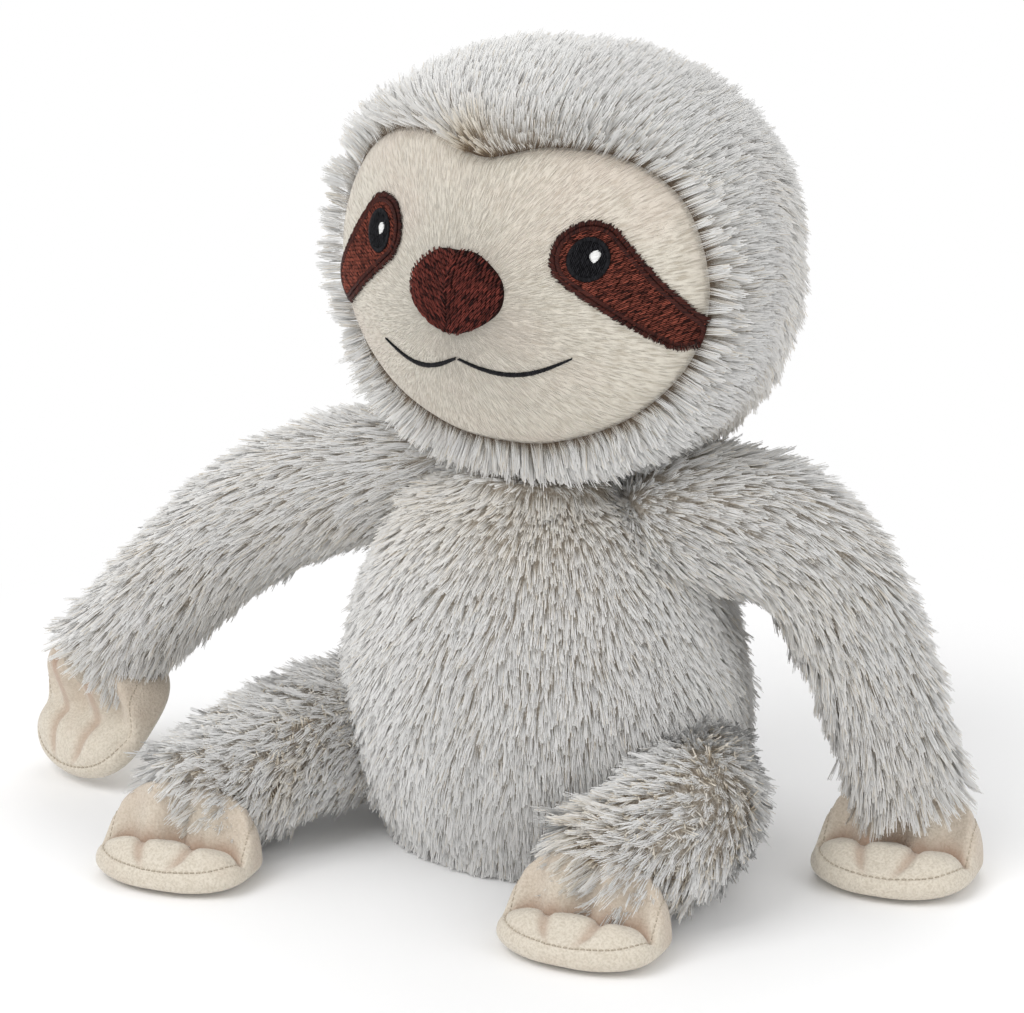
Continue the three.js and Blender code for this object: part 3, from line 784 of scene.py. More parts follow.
@dataclass
class Coat:
    """Long pile that grows in tufts.

    A tuft runs from its root to its tip, and each strand keeps its own place round that line. The
    places draw together towards the tip by the gather. The strands are cut a little short towards
    the tuft's edge. Drift is how far the tufts turn from the way that the pile lies, and tone is
    how far the coat is darker than the finish's palest.
    """

    finish: Material
    length: float = 9 * MM
    lift: float = 0.44
    spacing: float = 1.8 * MM
    members: int = 8
    spread: float = 0.9 * MM
    gather: float = 0.95
    thread: float = 0.11 * MM
    unrest: float = 0.14
    tone: float = 0.2
    mottle: float = 0.09
    streaks: float = 0.05
    unevenness: float = 0.28
    seed: int = 1
    drift_wave: float = 26 * MM
    drift_spread: float = 0.45
    length_spread: float = 0.13
    lengths: Pair = (0.65, 1.35)
    lift_wave: float = 13 * MM
    lift_spread: float = 0.6
    lifts: Pair = (0.3, 1.9)
    steepest: float = 0.95
    least_reach: float = 0.3
    sway: float = 0.25
    edge_cut: float = 0.12
    cut_spread: float = 0.22
    wander: Pair = (0.012, 0.06)
    ground: Pair = (0.2, 1.2)
    streak_tones: Pair = (0.3, 0.7)
    threads: Pair = (0.75, 1.25)

    def grow(self, name: str, body: str, roots: Array, normals: Array, flows: Array,
             tones: Array, lifts: Array | float = 1, stretch: Array | float = 1) -> None:
        """Grows the strands from the tufts' roots, in pieces that aren't too large.

        Args:
            name: the pieces' first name.
            body: the body that they ride on.
            roots: tuft roots.
            normals: unit normals there.
            flows: the way that the pile lies there.
            tones: how far each tuft is darker than the coat.
            lifts: how much more or less than usual each tuft stands up.
            stretch: how much longer than usual each tuft is.
        """
        rng = chance(self.seed)
        count = len(roots)
        flows = unit(flows - normals * np.einsum("ij,ij->i", flows, normals)[:, None])
        drift = ripple(roots, self.drift_wave, self.seed + 11) * self.unrest
        drift = drift + rng.normal(0, self.unrest * self.drift_spread, count)
        flows = turn_about(flows, normals, drift)
        sides = np.cross(normals, flows)
        length = self.length * stretch * np.clip(rng.normal(1, self.length_spread, count),
                                                 *self.lengths)
        uneven = 1 + ripple(roots, self.lift_wave, self.seed + 5) * self.unevenness
        uneven = uneven + rng.normal(0, self.unevenness * self.lift_spread, count)
        lift = self.lift * np.clip(uneven, *self.lifts)
        height = length * np.minimum(lift * lifts, self.steepest)
        least = (self.least_reach * length) ** 2
        reach = np.sqrt(np.maximum(length ** 2 - height ** 2, least))
        sway = length * rng.normal(0, self.unrest * self.sway, count)
        tip = normals * height[:, None] + flows * reach[:, None] + sides * sway[:, None]

        shape = (count, self.members)
        radius = np.sqrt(rng.uniform(0, 1, shape))
        angle = rng.uniform(0, FULL_TURN, shape)
        offset = (flows[:, None] * (radius * np.cos(angle))[..., None]
                  + sides[:, None] * (radius * np.sin(angle))[..., None]) * self.spread
        fall = 1 - self.edge_cut * radius ** 2 - rng.uniform(0, self.cut_spread, shape)
        wander = (self.wander[0] + self.unrest * self.wander[1]) * self.length
        wander = rng.normal(0, wander, (*shape, 3))
        starts = roots[:, None] + offset
        ends = roots[:, None] + offset * self.gather + tip[:, None] * fall[..., None] + wander
        ground = rng.uniform(*self.ground, shape) * MM
        for places in (starts, ends):
            places[..., 2] = np.maximum(places[..., 2], ground)

        tone = self.tone + tones[:, None] + rng.normal(0, self.mottle, shape)
        streaked = rng.uniform(0, 1, shape) < self.streaks
        tone = tone + streaked * rng.uniform(*self.streak_tones, shape)
        thickness = self.thread * rng.uniform(*self.threads, shape)
        pieces = 1 + 4 * count * self.members // PIECE_FACES
        for number, part in enumerate(np.array_split(np.argsort(roots[:, 2]), pieces)):
            label = name if pieces == 1 else f"{name}_{number + 1}"
            piece = cut_strands(label, starts[part].reshape(-1, 3), ends[part].reshape(-1, 3),
                                thickness[part].ravel(),
                                np.repeat(normals[part], self.members, axis=0),
                                np.clip(tone[part].ravel(), 0, 1))
            dress(piece, self.finish, body)


@dataclass(frozen=True)
class Palette:
    """The materials that the sub-assemblies share."""

    pile: Material
    backing: Material
    pale_backing: Material
    face: Material
    mitt: Material
    mitt_thread: Material
    patch: Material
    patch_ground: Material
    border: Material
    nose: Material
    nose_ground: Material
    black: Material
    black_ground: Material
    white: Material
    fibre: Material


def joint_place(name: str) -> Array:
    """Where a joint of the frame turns."""
    return np.array(next(joint["pos_m"] for joint in frame["joints"] if joint["name"] == name))


@dataclass
class Torso:
    """The torso's cover, its seat and its pile. Heights of tones are over the ground."""

    palette: Palette
    rows: int = 60
    columns: int = 96
    inset: float = 2 * MM
    ring_shares: tuple = ((0, 0.68), (0.09, 0.87), (0.25, 0.98), (0.41, 1), (0.57, 0.95),
                          (0.74, 0.84), (0.9, 0.66), (1, 0.42))
    curve_steps: int = 12
    seat_edge: float = 1 * MM
    seat_rim: float = 1.5 * MM
    seat_lift: float = 0.2 * MM
    seat_shares: tuple = (0.3, 0.6, 0.85)
    seat_turns: int = 9
    pile_from: float = 3.5 * MM
    flare: float = 4
    patch_wave: float = 45 * MM
    patch_tone: float = 0.05
    # Painted shade: the pile is darker near the collar, under the head.
    collar_heights: Pair = (0.085, 0.118)
    collar_tone: float = 0.22
    # Painted light: the pile is paler near the ground.
    foot_heights: Pair = (0.09, 0.03)
    foot_tone: float = 0.12
    flat_rings: tuple[float, float, int] = (1.03, 0.35, 9)
    rim_tufts: float = 7 * MM
    rim_fall: float = 1.2

    def __post_init__(self) -> None:
        """Reads the torso's size from the frame."""
        _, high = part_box("torso_back_panel")
        front_low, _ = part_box("torso_front_panel")
        self.half_width = high.x
        self.half_depth = max(high.y, -front_low.y)
        self.height = high.z

    def widths(self, heights: Array) -> Array:
        """The torso's width, by a smooth curve through the ring shares.

        The shares are mirrored over the top, so that the curve closes.

        Args:
            heights: shares of the torso's height.

        Returns:
            Shares of its widest.
        """
        table = np.array(self.ring_shares)
        whole = np.vstack([table, table[-2:0:-1] * [-1, 1] + [2, 0]])
        last = (len(table) - 1) * self.curve_steps
        curve = closed_curve(whole, self.curve_steps)[:last + 1]
        return np.interp(heights, curve[:, 0], curve[:, 1])

    def skin(self) -> Skin:
        """The surface from the collar down to the seat: an oval ring at each height."""
        heights = 1 - np.linspace(0, 1, self.rows)
        angle = turns(self.columns)
        width = self.widths(heights)[:, None]
        z = self.inset + (self.height - 2 * self.inset) * heights
        x = (self.half_width * width - self.inset) * np.cos(angle)
        y = (self.half_depth * width - self.inset) * np.sin(angle)
        return Skin(np.stack([x, y, np.broadcast_to(z[:, None], x.shape)], axis=-1))

    def build(self) -> None:
        """Makes the cover, the seat and the pile."""
        skin = self.skin()
        nodes = ("torso_front_panel", "torso_back_panel", "torso_stuffing", "grain_bag")
        dress(shell("torso_cover", skin.points), self.palette.pale_backing, "torso",
              nodes)
        self.build_seat()
        self.build_pile(skin)
        self.build_collar(skin.points[0])

    def build_seat(self) -> None:
        """The flat oval panel that the toy sits on.

        Its rim turns through half a circle: a ring's share is 1 less rim / half width times
        (1 - sin t), and its height is (1 - cos t) / 2 of the thickness.
        """
        low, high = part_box("seat_panel")
        half_x, half_y = high.x - self.seat_edge, high.y - self.seat_edge
        thick = self.inset + self.seat_rim
        angle = turns(self.columns)
        turn = np.linspace(0, math.pi, self.seat_turns)[:, None]
        rim = 1 - self.seat_rim / half_x * (1 - np.sin(turn))
        inner = np.array(self.seat_shares)[:, None] * rim[0]
        shares = np.vstack([inner, rim, inner[::-1]])
        level = np.zeros_like(inner)
        heights = np.vstack([level, (1 - np.cos(turn)) / 2, level + 1]) * thick
        heights = np.broadcast_to(heights, (len(shares), self.columns))
        rings = np.stack([half_x * shares * np.cos(angle), half_y * shares * np.sin(angle),
                          low.z + self.seat_lift + heights], axis=-1)
        dress(shell("seat_cover", rings), self.palette.backing, "torso",
              ("seat_panel",))

    def build_pile(self, skin: Skin) -> None:
        """Pile that runs down from the collar, and outwards as the torso swells."""
        coat = Coat(self.palette.pile, seed=21)
        points, normals, along, _ = skin.scatter(coat.spacing, chance(20))
        keep = points[:, 2] > self.pile_from
        points, normals, along = points[keep], normals[keep], along[keep]
        flows = along + points * [1, 1, 0] * self.flare
        tones = ripple(points, self.patch_wave, 3) * self.patch_tone
        # Painted shade darkens the pile just under the head.
        tones = tones + eased(*self.collar_heights, points[:, 2]) * self.collar_tone
        # Painted light brightens the pile near the ground.
        tones = tones - eased(*self.foot_heights, points[:, 2]) * self.foot_tone
        coat.grow("torso_pile", "torso", points, normals, flows, tones)

    def build_collar(self, rim: Array) -> None:
        """Pile on the flat top, which shows under the head when it nods.

        The flat is the rim drawn in towards its middle. The pile lies outwards, and hangs over
        the rim at its edge.

        Args:
            rim: the points of the cover's highest ring.
        """
        coat = Coat(self.palette.pile, seed=23, members=6, spacing=2.2 * MM, lift=0.6, tone=0.3)
        middle = rim.mean(axis=0)
        flat = Skin(middle + (rim - middle) * np.linspace(*self.flat_rings)[:, None, None])
        points, _, along, walked = flat.scatter(coat.spacing, chance(24))
        edge = eased(self.rim_tufts, 0, walked)[:, None]
        normals = unit([0, 0, 1] - along * edge)
        flows = -along - [0, 0, self.rim_fall] * edge
        coat.grow("collar_pile", "torso", points, normals, flows, np.zeros(len(points)))


@dataclass
class FaceForm:
    """The face's curved front: an ellipsoid with a soft bump for the snout.

    The depth ahead of the middle is the root of 1 - (x / radius_x) squared - (z / radius_z)
    squared, times radius_front plus a bell curve of the place.
    """

    centre: Array
    radius_x: float = 75 * MM
    radius_front: float = 50 * MM
    radius_z: float = 70 * MM
    snout_rise: float = 9 * MM
    snout_spread: float = 24 * MM
    snout_drop: float = 8 * MM
    half_width: float = 67 * MM
    half_height: float = 47 * MM
    outline_drop: float = 3.5 * MM
    outline_shares: tuple = ((0, 0.9), (0.3, 0.99), (0.62, 0.94), (0.88, 0.67), (1, 0.15),
                             (0.92, -0.35), (0.66, -0.74), (0.3, -0.96), (0, -1))
    edge_sink: float = 1.5 * MM
    curve_steps: int = 16
    probe: float = 0.1 * MM

    def outline(self) -> Array:
        """The seam round the face, as x and z about the middle."""
        whole = mirrored(self.outline_shares) * [self.half_width, self.half_height]
        return closed_curve(whole - [0, self.outline_drop], self.curve_steps)

    def reach(self, angle: Array) -> Array:
        """How far the seam lies from the middle at an angle from +x towards +z."""
        return reach_at(self.outline(), angle)

    def ahead(self, x: Array, z: Array) -> Array:
        """How far the surface lies ahead of the middle."""
        inside = 1 - (x / self.radius_x) ** 2 - (z / self.radius_z) ** 2
        front = np.sqrt(np.maximum(inside, 0))
        bump = np.exp(-(x ** 2 + (z + self.snout_drop) ** 2) / (2 * self.snout_spread ** 2))
        return front * (self.radius_front + self.snout_rise * bump)

    def place(self, x: Array, z: Array, lift: Array | float = 0) -> Array:
        """Points on the face, lifted along its normal, which comes from the slopes there.

        Args:
            x: distances from the middle to the toy's left.
            z: heights over the middle.
            lift: heights over the face.

        Returns:
            One point for each place.
        """
        step = self.probe
        slope_x = (self.ahead(x + step, z) - self.ahead(x - step, z)) / (2 * step)
        slope_z = (self.ahead(x, z + step) - self.ahead(x, z - step)) / (2 * step)
        normal = unit(np.stack([-slope_x, -np.ones_like(x), -slope_z], axis=-1))
        surface = np.stack([x, -self.ahead(x, z), z], axis=-1) + self.centre
        return surface + normal * np.asarray(lift)[..., None]

    def inside(self, places: Array, margin: float) -> Array:
        """Whether each place, as x and z, lies within the seam by a margin."""
        return np.hypot(*places.T) < self.reach(bearing(places)) - margin


@dataclass
class Face:
    """The velour face with its embroidered eyes, nose and mouth.

    A pad's profile is a list of rings, each a share of the outline and a height in millimetres.
    The fill's gap and the radii at stations are in thread radii, and a border's inner rows in
    its widths. Slants are in degrees.
    """

    palette: Palette
    form: FaceForm
    columns: int = 144
    rows: int = 40
    wall: float = 2.2 * MM
    first_share: float = 0.02
    edge_from: float = 0.93
    right_eye_x: float = 34 * MM
    left_eye_x: float = 38 * MM
    eye_z: float = 12.6 * MM
    pad_base: float = -0.3 * MM
    outline_points: int = 120
    patch_over_eye: float = 0.6 * MM
    patch_inner: float = 10 * MM
    patch_outer: float = 6 * MM
    patch_run: Pair = (23 * MM, -21.5 * MM)
    patch_profile: tuple = ((0.05, 1.05), (0.35, 1.05), (0.65, 1.0), (0.85, 0.9), (0.95, 0.7),
                            (1.0, 0.1))
    patch_slant: float = 68
    patch_stitch: float = 1.7 * MM
    patch_lift: float = 0.95 * MM
    seam_gap: float = 0.4 * MM
    stitch_seam_gap: float = 1 * MM
    border: float = 2.4 * MM
    border_threads: int = 380
    border_rows: Triple = (0.25 * MM, -0.55, -1.05)
    border_lifts: Pair = (0.45 * MM, 0.8 * MM)
    ragged: Pair = (-0.22, 0.32)
    pupil: Pair = (5.6 * MM, 6.3 * MM)
    pupil_profile: tuple = ((0.05, 1.5), (0.5, 1.5), (0.85, 1.5), (0.97, 1.3), (1.0, 0.6))
    pupil_base: float = 0.2 * MM
    pupil_points: int = 90
    pupil_slant: float = 75
    pupil_stitch: float = 1.6 * MM
    pupil_lift: float = 1.4 * MM
    edge_threads: int = 110
    edge_shares: Pair = (0.79, 1.015)
    edge_twist: float = 0.06
    edge_lift: float = 1.35 * MM
    glint: float = 1.6 * MM
    glint_shift: Pair = (1.7 * MM, 0.9 * MM)
    glint_threads: int = 9
    glint_rows: float = 0.92
    glint_widths: Pair = (0.65, 1.1)
    glint_slope: float = 0.2 * MM
    glint_lift: float = 1.75 * MM
    thread: float = 0.19 * MM
    stations: tuple = (0, 0.18, 0.5, 0.82, 1)
    station_radii: tuple = (0.6, 0.95, 1, 0.95, 0.6)
    thread_unrest: float = 0.03 * MM
    thread_tones: Pair = (0.5, 0.26)
    fill_gap: float = 2.5
    fill_unrest: Pair = (0.12, 0.1)
    fill_overlap: float = 0.56
    nose_half: float = 15.75 * MM
    nose_top: float = 12.9 * MM
    nose_bottom: float = 11.8 * MM
    nose_rise: float = 2.6 * MM
    nose_ridge: Pair = (0.7 * MM, 1.8 * MM)
    nose_shares: tuple = ((0, 1), (0.51, 0.92), (1, 0.33), (0.9, -0.44), (0, -1))
    nose_rings: tuple = (0.04, 0.2, 0.4, 0.6, 0.78, 0.9, 0.97, 1.0)
    nose_slant: float = 38
    nose_stitch: float = 1.9 * MM
    nose_margin: float = 0.45 * MM
    mouth_threads: int = 110
    mouth_start: float = 0.6 * MM
    mouth_reach: float = 33 * MM
    mouth_drop: float = 19.8 * MM
    mouth_dip: float = 4.8 * MM
    mouth_end_rises: Pair = (-0.8 * MM, 2.6 * MM)
    mouth_half: float = 0.75 * MM
    mouth_least: float = 0.12
    mouth_lean: float = 0.35 * MM

    def build(self) -> None:
        """Makes the panel and all that is sewn on it."""
        self.build_panel()
        for side in Side:
            self.build_patch(side)
            self.build_pupil(side)
            self.build_mouth(side)
        self.build_nose()

    def build_panel(self) -> None:
        """The face's panel, rounded back at its seam, with its inner side behind it."""
        angle = turns(self.columns)
        edge = self.form.reach(angle)
        share = np.linspace(self.first_share, 1, self.rows)[:, None]
        x, z = edge * share * np.cos(angle), edge * share * np.sin(angle)
        sink = eased(self.edge_from, 1.0, np.broadcast_to(share, x.shape)) * self.form.edge_sink
        front = self.form.place(x, z, -sink)
        back = self.form.place(x, z, -sink - self.wall)
        panel = shell("face_cover", np.vstack([front, back[::-1]]))
        dress(panel, self.palette.face, "head", ("face_panel", "head_stuffing"))

    def build_pad(self, name: str, look: tuple[Material, str], node: str, places: Array,
                  lift: Array, base: float) -> None:
        """A low closed pad on the face.

        Args:
            name: the piece's name.
            look: its finish, and a slot's name that is not used.
            node: the CAD node that it stands for.
            places: rings of places, as x and z about the face's middle, from the inside out.
            lift: their heights over the face.
            base: the height of the pad's underside.
        """
        shape = places.shape[:2]
        top = self.form.place(places[..., 0], places[..., 1], np.broadcast_to(lift, shape))
        low = self.form.place(places[..., 0], places[..., 1], np.full(shape, base))
        finish, slot = look
        dress(shell(name, np.vstack([top, low[::-1]])), finish, "head", (node,))

    def eye(self, side: Side) -> Array:
        """The middle of a pupil, as x and z about the face's middle."""
        out = self.right_eye_x if side is Side.RIGHT else self.left_eye_x
        return np.array([side.value * out, self.eye_z])

    def spine(self, side: Side) -> tuple[Array, Array]:
        """The patch's middle line: its inner and outer ends."""
        start = self.eye(side) + [0, self.patch_over_eye]
        return start, start + np.array(self.patch_run) * [side.value, 1]

    def patch_depth(self, places: Array, side: Side) -> Array:
        """How far inside the patch's outline each place lies, negative outside.

        It is the radius at the nearest point of the middle line, less the distance to that point.

        Args:
            places: x and z about the face's middle.
            side: the patch's side.

        Returns:
            One depth for each place.
        """
        x, z = places.T
        start, end = self.spine(side)
        run = end - start
        share = ((x - start[0]) * run[0] + (z - start[1]) * run[1]) / (run @ run)
        share = np.clip(share, 0, 1)
        radius = self.patch_inner + (self.patch_outer - self.patch_inner) * share
        return radius - np.hypot(x - start[0] - share * run[0], z - start[1] - share * run[1])

    def patch_outline(self, side: Side, growth: float, count: int) -> Array:
        """The patch's outline, let out by a growth and kept inside the face's seam.

        It is half a circle round each end of the middle line.

        Args:
            side: the patch's side.
            growth: how far the outline is let out.
            count: points wanted.

        Returns:
            The outline's points.
        """
        start, end = self.spine(side)
        heading = math.atan2(*(end - start)[::-1])
        inner = heading + np.linspace(0.5, 1.5, 60) * math.pi
        outer = heading + np.linspace(-0.5, 0.5, 60) * math.pi
        arcs = [start + (self.patch_inner + growth) * cos_sin(inner),
                end + (self.patch_outer + growth) * cos_sin(outer)]
        outline = resampled(np.vstack(arcs), count, True)
        limit = self.form.reach(bearing(outline)) - self.seam_gap
        return outline * np.minimum(1, limit / np.hypot(*outline.T))[:, None]

    def sew(self, name: str, look: tuple[Material, str], starts: Array, ends: Array,
            lift: Array | float, crown: float, seed: int, thread: float | None = None,
            nodes: Sequence[str] = ()) -> None:
        """Threads laid on the face from start to end, each bowed up between its ends.

        The bow is the crown times the root of 4 s (1 - s), where s is the share of the way.

        Args:
            name: the piece's name.
            look: its finish, and a slot's name that is not used.
            starts: first ends, as x and z about the face's middle.
            ends: last ends.
            lift: the ground's height over the face at each stitch.
            crown: how far the middle of a thread stands over its ends.
            seed: the seed of tones.
            thread: the thread's radius, or None for the usual one.
            nodes: the CAD nodes that the piece stands for.
        """
        rng = chance(seed)
        count = len(starts)
        share = np.array(self.stations)
        places = starts[:, None] + (ends - starts)[:, None] * share[:, None]
        bow = crown * np.sqrt(np.clip(4 * share * (1 - share), 0, 1))
        unrest = rng.normal(0, self.thread_unrest, (count, 1))
        heights = np.broadcast_to(lift, count)[:, None] + bow + unrest
        lines = self.form.place(places[..., 0], places[..., 1], heights)
        ups = unit(self.form.place(places[:, 2, 0], places[:, 2, 1], 1.0) - lines[:, 2])
        radii = np.repeat([self.station_radii], count, axis=0) * (thread or self.thread)
        tones = np.clip(rng.normal(*self.thread_tones, count), 0, 1)
        finish, slot = look
        dress(laid_threads(name, lines, radii, ups, tones), finish, "head", nodes)

    def fill(self, low: Array, high: Array, heading: float, length: float, seed: int
             ) -> tuple[Array, Array]:
        """Brick-laid stitches over a box, in one direction.

        Args:
            low: the box's lowest corner, as x and z about the face's middle.
            high: its highest corner.
            heading: the stitches' direction, from +x towards +z.
            length: the distance between their middles.
            seed: the seed of their unrest.

        Returns:
            The stitches' first and last ends.
        """
        rng = chance(seed)
        step = self.thread * self.fill_gap
        centre = (low + high) / 2
        half = np.linalg.norm(high - low) / 2
        across = np.arange(-half, half, step)
        v, u = np.meshgrid(across, np.arange(-half, half, length), indexing="ij")
        u = u + (np.arange(len(across)) % 3 / 3 * length)[:, None]
        u = u + rng.normal(0, self.fill_unrest[0] * length, u.shape)
        v = v + rng.normal(0, self.fill_unrest[1] * step, v.shape)
        forward = np.array([math.cos(heading), math.sin(heading)])
        square = np.array([-forward[1], forward[0]])
        middle = centre + u.reshape(-1, 1) * forward + v.reshape(-1, 1) * square
        reach = forward * length * self.fill_overlap
        return middle - reach, middle + reach

    def build_patch(self, side: Side) -> None:
        """The brushed patch round an eye: a low pad, stitched all over, and its dark border.

        Args:
            side: the eye's side.
        """
        outline = self.patch_outline(side, -self.border * 0.5, self.outline_points)
        start, end = self.spine(side)
        run = end - start
        share = np.clip((outline - start) @ run / (run @ run), 0, 1)
        middle = start + share[:, None] * run
        rings, lift = np.array(self.patch_profile).T
        places = middle + (outline - middle) * rings[:, None, None]
        # The pad's near-black colour is painted shade seen between the stitches.
        self.build_pad(f"eye_pad_{side.label}", (self.palette.patch_ground, "rust_felt"),
                       f"eye_patch_{side.label}", places, lift[:, None] * MM, self.pad_base)

        heading = math.atan2(run[1], run[0]) + side.value * math.radians(self.patch_slant)
        reach = np.abs(run) + self.patch_inner
        centre = (start + end) / 2
        starts, ends = self.fill(centre - reach, centre + reach, heading, self.patch_stitch,
                                 5 + side.value)
        centres = (starts + ends) / 2
        keep = self.patch_depth(centres, side) > self.border * 0.7
        keep &= self.form.inside(centres, self.stitch_seam_gap)
        keep &= np.hypot(*((centres - self.eye(side)) / self.pupil).T) > 0.92
        self.sew(f"eye_patch_thread_{side.label}", (self.palette.patch, "rust_felt"),
                 starts[keep], ends[keep], self.patch_lift, 0.22 * MM, 7)
        self.build_border(side)

    def build_border(self, side: Side) -> None:
        """The satin border: threads set close across the patch's edge, in two rows.

        Args:
            side: the eye's side.
        """
        count = self.border_threads
        edge, middle_row, inner_row = self.border_rows
        outer = self.patch_outline(side, edge, count)
        middle = self.patch_outline(side, self.border * middle_row, count)
        inner = self.patch_outline(side, self.border * inner_row, count)
        rng = chance(31)
        ragged = outer + (outer - middle) * rng.uniform(*self.ragged, (count, 1))
        starts = np.vstack([ragged, middle + (middle - inner) * 0.1])
        ends = np.vstack([np.roll(middle, 1, axis=0), np.roll(inner, 1, axis=0)])
        self.sew(f"eye_border_thread_{side.label}", (self.palette.border, "umber_thread"),
                 starts, ends, np.repeat(self.border_lifts, count), 0.5 * MM, 9,
                 nodes=(f"eye_border_{side.label}",))

    def build_pupil(self, side: Side) -> None:
        """The black pupil: filled across, ringed by a satin edge, with a white glint.

        Args:
            side: the eye's side.
        """
        centre = self.eye(side)
        rings, lift = np.array(self.pupil_profile).T
        places = centre + cos_sin(turns(self.pupil_points)) * self.pupil * rings[:, None, None]
        self.build_pad(f"pupil_pad_{side.label}", (self.palette.black_ground, "black_thread"),
                       f"pupil_{side.label}", places, lift[:, None] * MM, self.pupil_base)

        starts, ends = self.fill(centre - self.pupil, centre + self.pupil,
                                 math.radians(self.pupil_slant), self.pupil_stitch, 12)
        keep = np.hypot(*(((starts + ends) / 2 - centre) / self.pupil).T) < 0.8
        edge = turns(self.edge_threads)
        inner, outer = self.edge_shares
        starts = np.vstack([starts[keep], centre + cos_sin(edge) * self.pupil * inner])
        slanted = cos_sin(edge + self.edge_twist)
        ends = np.vstack([ends[keep], centre + slanted * self.pupil * outer])
        lift = np.repeat([self.pupil_lift, self.edge_lift], [keep.sum(), self.edge_threads])
        self.sew(f"pupil_thread_{side.label}", (self.palette.black, "black_thread"), starts,
                 ends, lift, 0.3 * MM, 13)
        self.build_glint(side, centre + np.array(self.glint_shift))

    def build_glint(self, side: Side, spot: Array) -> None:
        """White threads over a pupil, each a chord of a small circle that widens upwards.

        Args:
            side: the eye's side.
            spot: the glint's middle, as x and z about the face's middle.
        """
        rows = np.linspace(-self.glint_rows, self.glint_rows, self.glint_threads)
        reach = np.sqrt(1 - rows ** 2) * np.interp(rows, [-1, 1], self.glint_widths)
        level = spot[1] + rows * self.glint
        starts = np.stack([spot[0] - reach * self.glint, level - self.glint_slope], axis=1)
        ends = np.stack([spot[0] + reach * self.glint, level + self.glint_slope], axis=1)
        self.sew(f"glint_thread_{side.label}", (self.palette.white, "white_thread"), starts,
                 ends, self.glint_lift, 0.25 * MM, 14, 0.22 * MM, (f"eye_glint_{side.label}",))

    def nose_outline(self) -> Array:
        """The nose's outline."""
        tall = (self.nose_top + self.nose_bottom) / 2
        middle = (self.nose_top - self.nose_bottom) / 2
        whole = mirrored(self.nose_shares) * [self.nose_half, tall] + [0, middle]
        return closed_curve(whole, self.form.curve_steps)

    def nose_lift(self, share: Array, x: Array) -> Array:
        """The nose's height over the face: a dome with a ridge down its middle.

        Args:
            share: shares of the way from the nose's middle to its outline.
            x: distances from its middle line.

        Returns:
            One height for each place.
        """
        rise, width = self.nose_ridge
        dome = self.nose_rise * np.sqrt(np.clip(1 - share ** 2.6, 0, 1))
        return dome + rise * np.exp(-(x / width) ** 2) * (1 - share)

    def build_nose(self) -> None:
        """The padded nose, stitched in two slanting halves that meet on a ridge."""
        outline = resampled(self.nose_outline(), self.outline_points, True)
        rings = np.array(self.nose_rings)
        places = outline * rings[:, None, None]
        edge = 0.3 * MM * (1 - rings[:, None] ** 8)
        lift = self.nose_lift(rings[:, None], places[..., 0]) + edge
        # The pad's near-black colour is painted shade seen between the stitches.
        self.build_pad("nose_pad", (self.palette.nose_ground, "maroon_thread"), "nose", places,
                       lift, self.pad_base)
        starts, ends = [], []
        corner = np.array([self.nose_half, self.nose_top]) * 1.1
        for side in Side:
            heading = math.radians(90 - side.value * self.nose_slant)
            first, last = self.fill(-corner, corner, heading, self.nose_stitch, 40 + side.value)
            centres = (first + last) / 2
            limit = reach_at(outline, bearing(centres))
            keep = np.hypot(*centres.T) < limit - self.nose_margin
            keep &= centres[:, 0] * side.value > 0
            starts.append(first[keep])
            ends.append(last[keep])
        starts, ends = np.vstack(starts), np.vstack(ends)
        centres = (starts + ends) / 2
        share = np.hypot(*centres.T) / reach_at(outline, bearing(centres))
        lift = self.nose_lift(np.clip(share, 0, 1), centres[:, 0]) + 0.2 * MM
        self.sew("nose_thread", (self.palette.nose, "maroon_thread"), starts, ends, lift,
                 0.25 * MM, 15, 0.21 * MM)

    def build_mouth(self, side: Side) -> None:
        """Half of the mouth: satin threads set across a line that dips and rises to its end.

        The line's height is the dip times sin(pi s) and the end's rise times s. The band's half
        width swells as a power of a sine.

        Args:
            side: the half's side.
        """
        count = self.mouth_threads
        share = np.linspace(0, 1, count)
        end_rise = self.mouth_end_rises[side is Side.LEFT]
        x = side.value * (self.mouth_start + self.mouth_reach * share)
        z = -self.mouth_drop - self.mouth_dip * np.sin(math.pi * share) + end_rise * share
        line = np.stack([x, z], axis=1)
        along = unit(np.gradient(line, axis=0))
        square = np.stack([-along[:, 1], along[:, 0]], axis=1)
        swell = np.sin(math.pi * np.clip(share * 0.88 + 0.1, 0, 1)) ** 0.8
        half = self.mouth_half * (self.mouth_least + (1 - self.mouth_least) * swell)
        half = half * chance(16 + side.value).uniform(0.85, 1.15, count)
        reach = square * half[:, None] + along * self.mouth_lean
        self.sew(f"mouth_thread_{side.label}", (self.palette.black, "black_thread"),
                 line - reach, line + reach, 0.15 * MM, 0.45 * MM, 17, 0.2 * MM,
                 (f"mouth_stitch_{side.label}",))


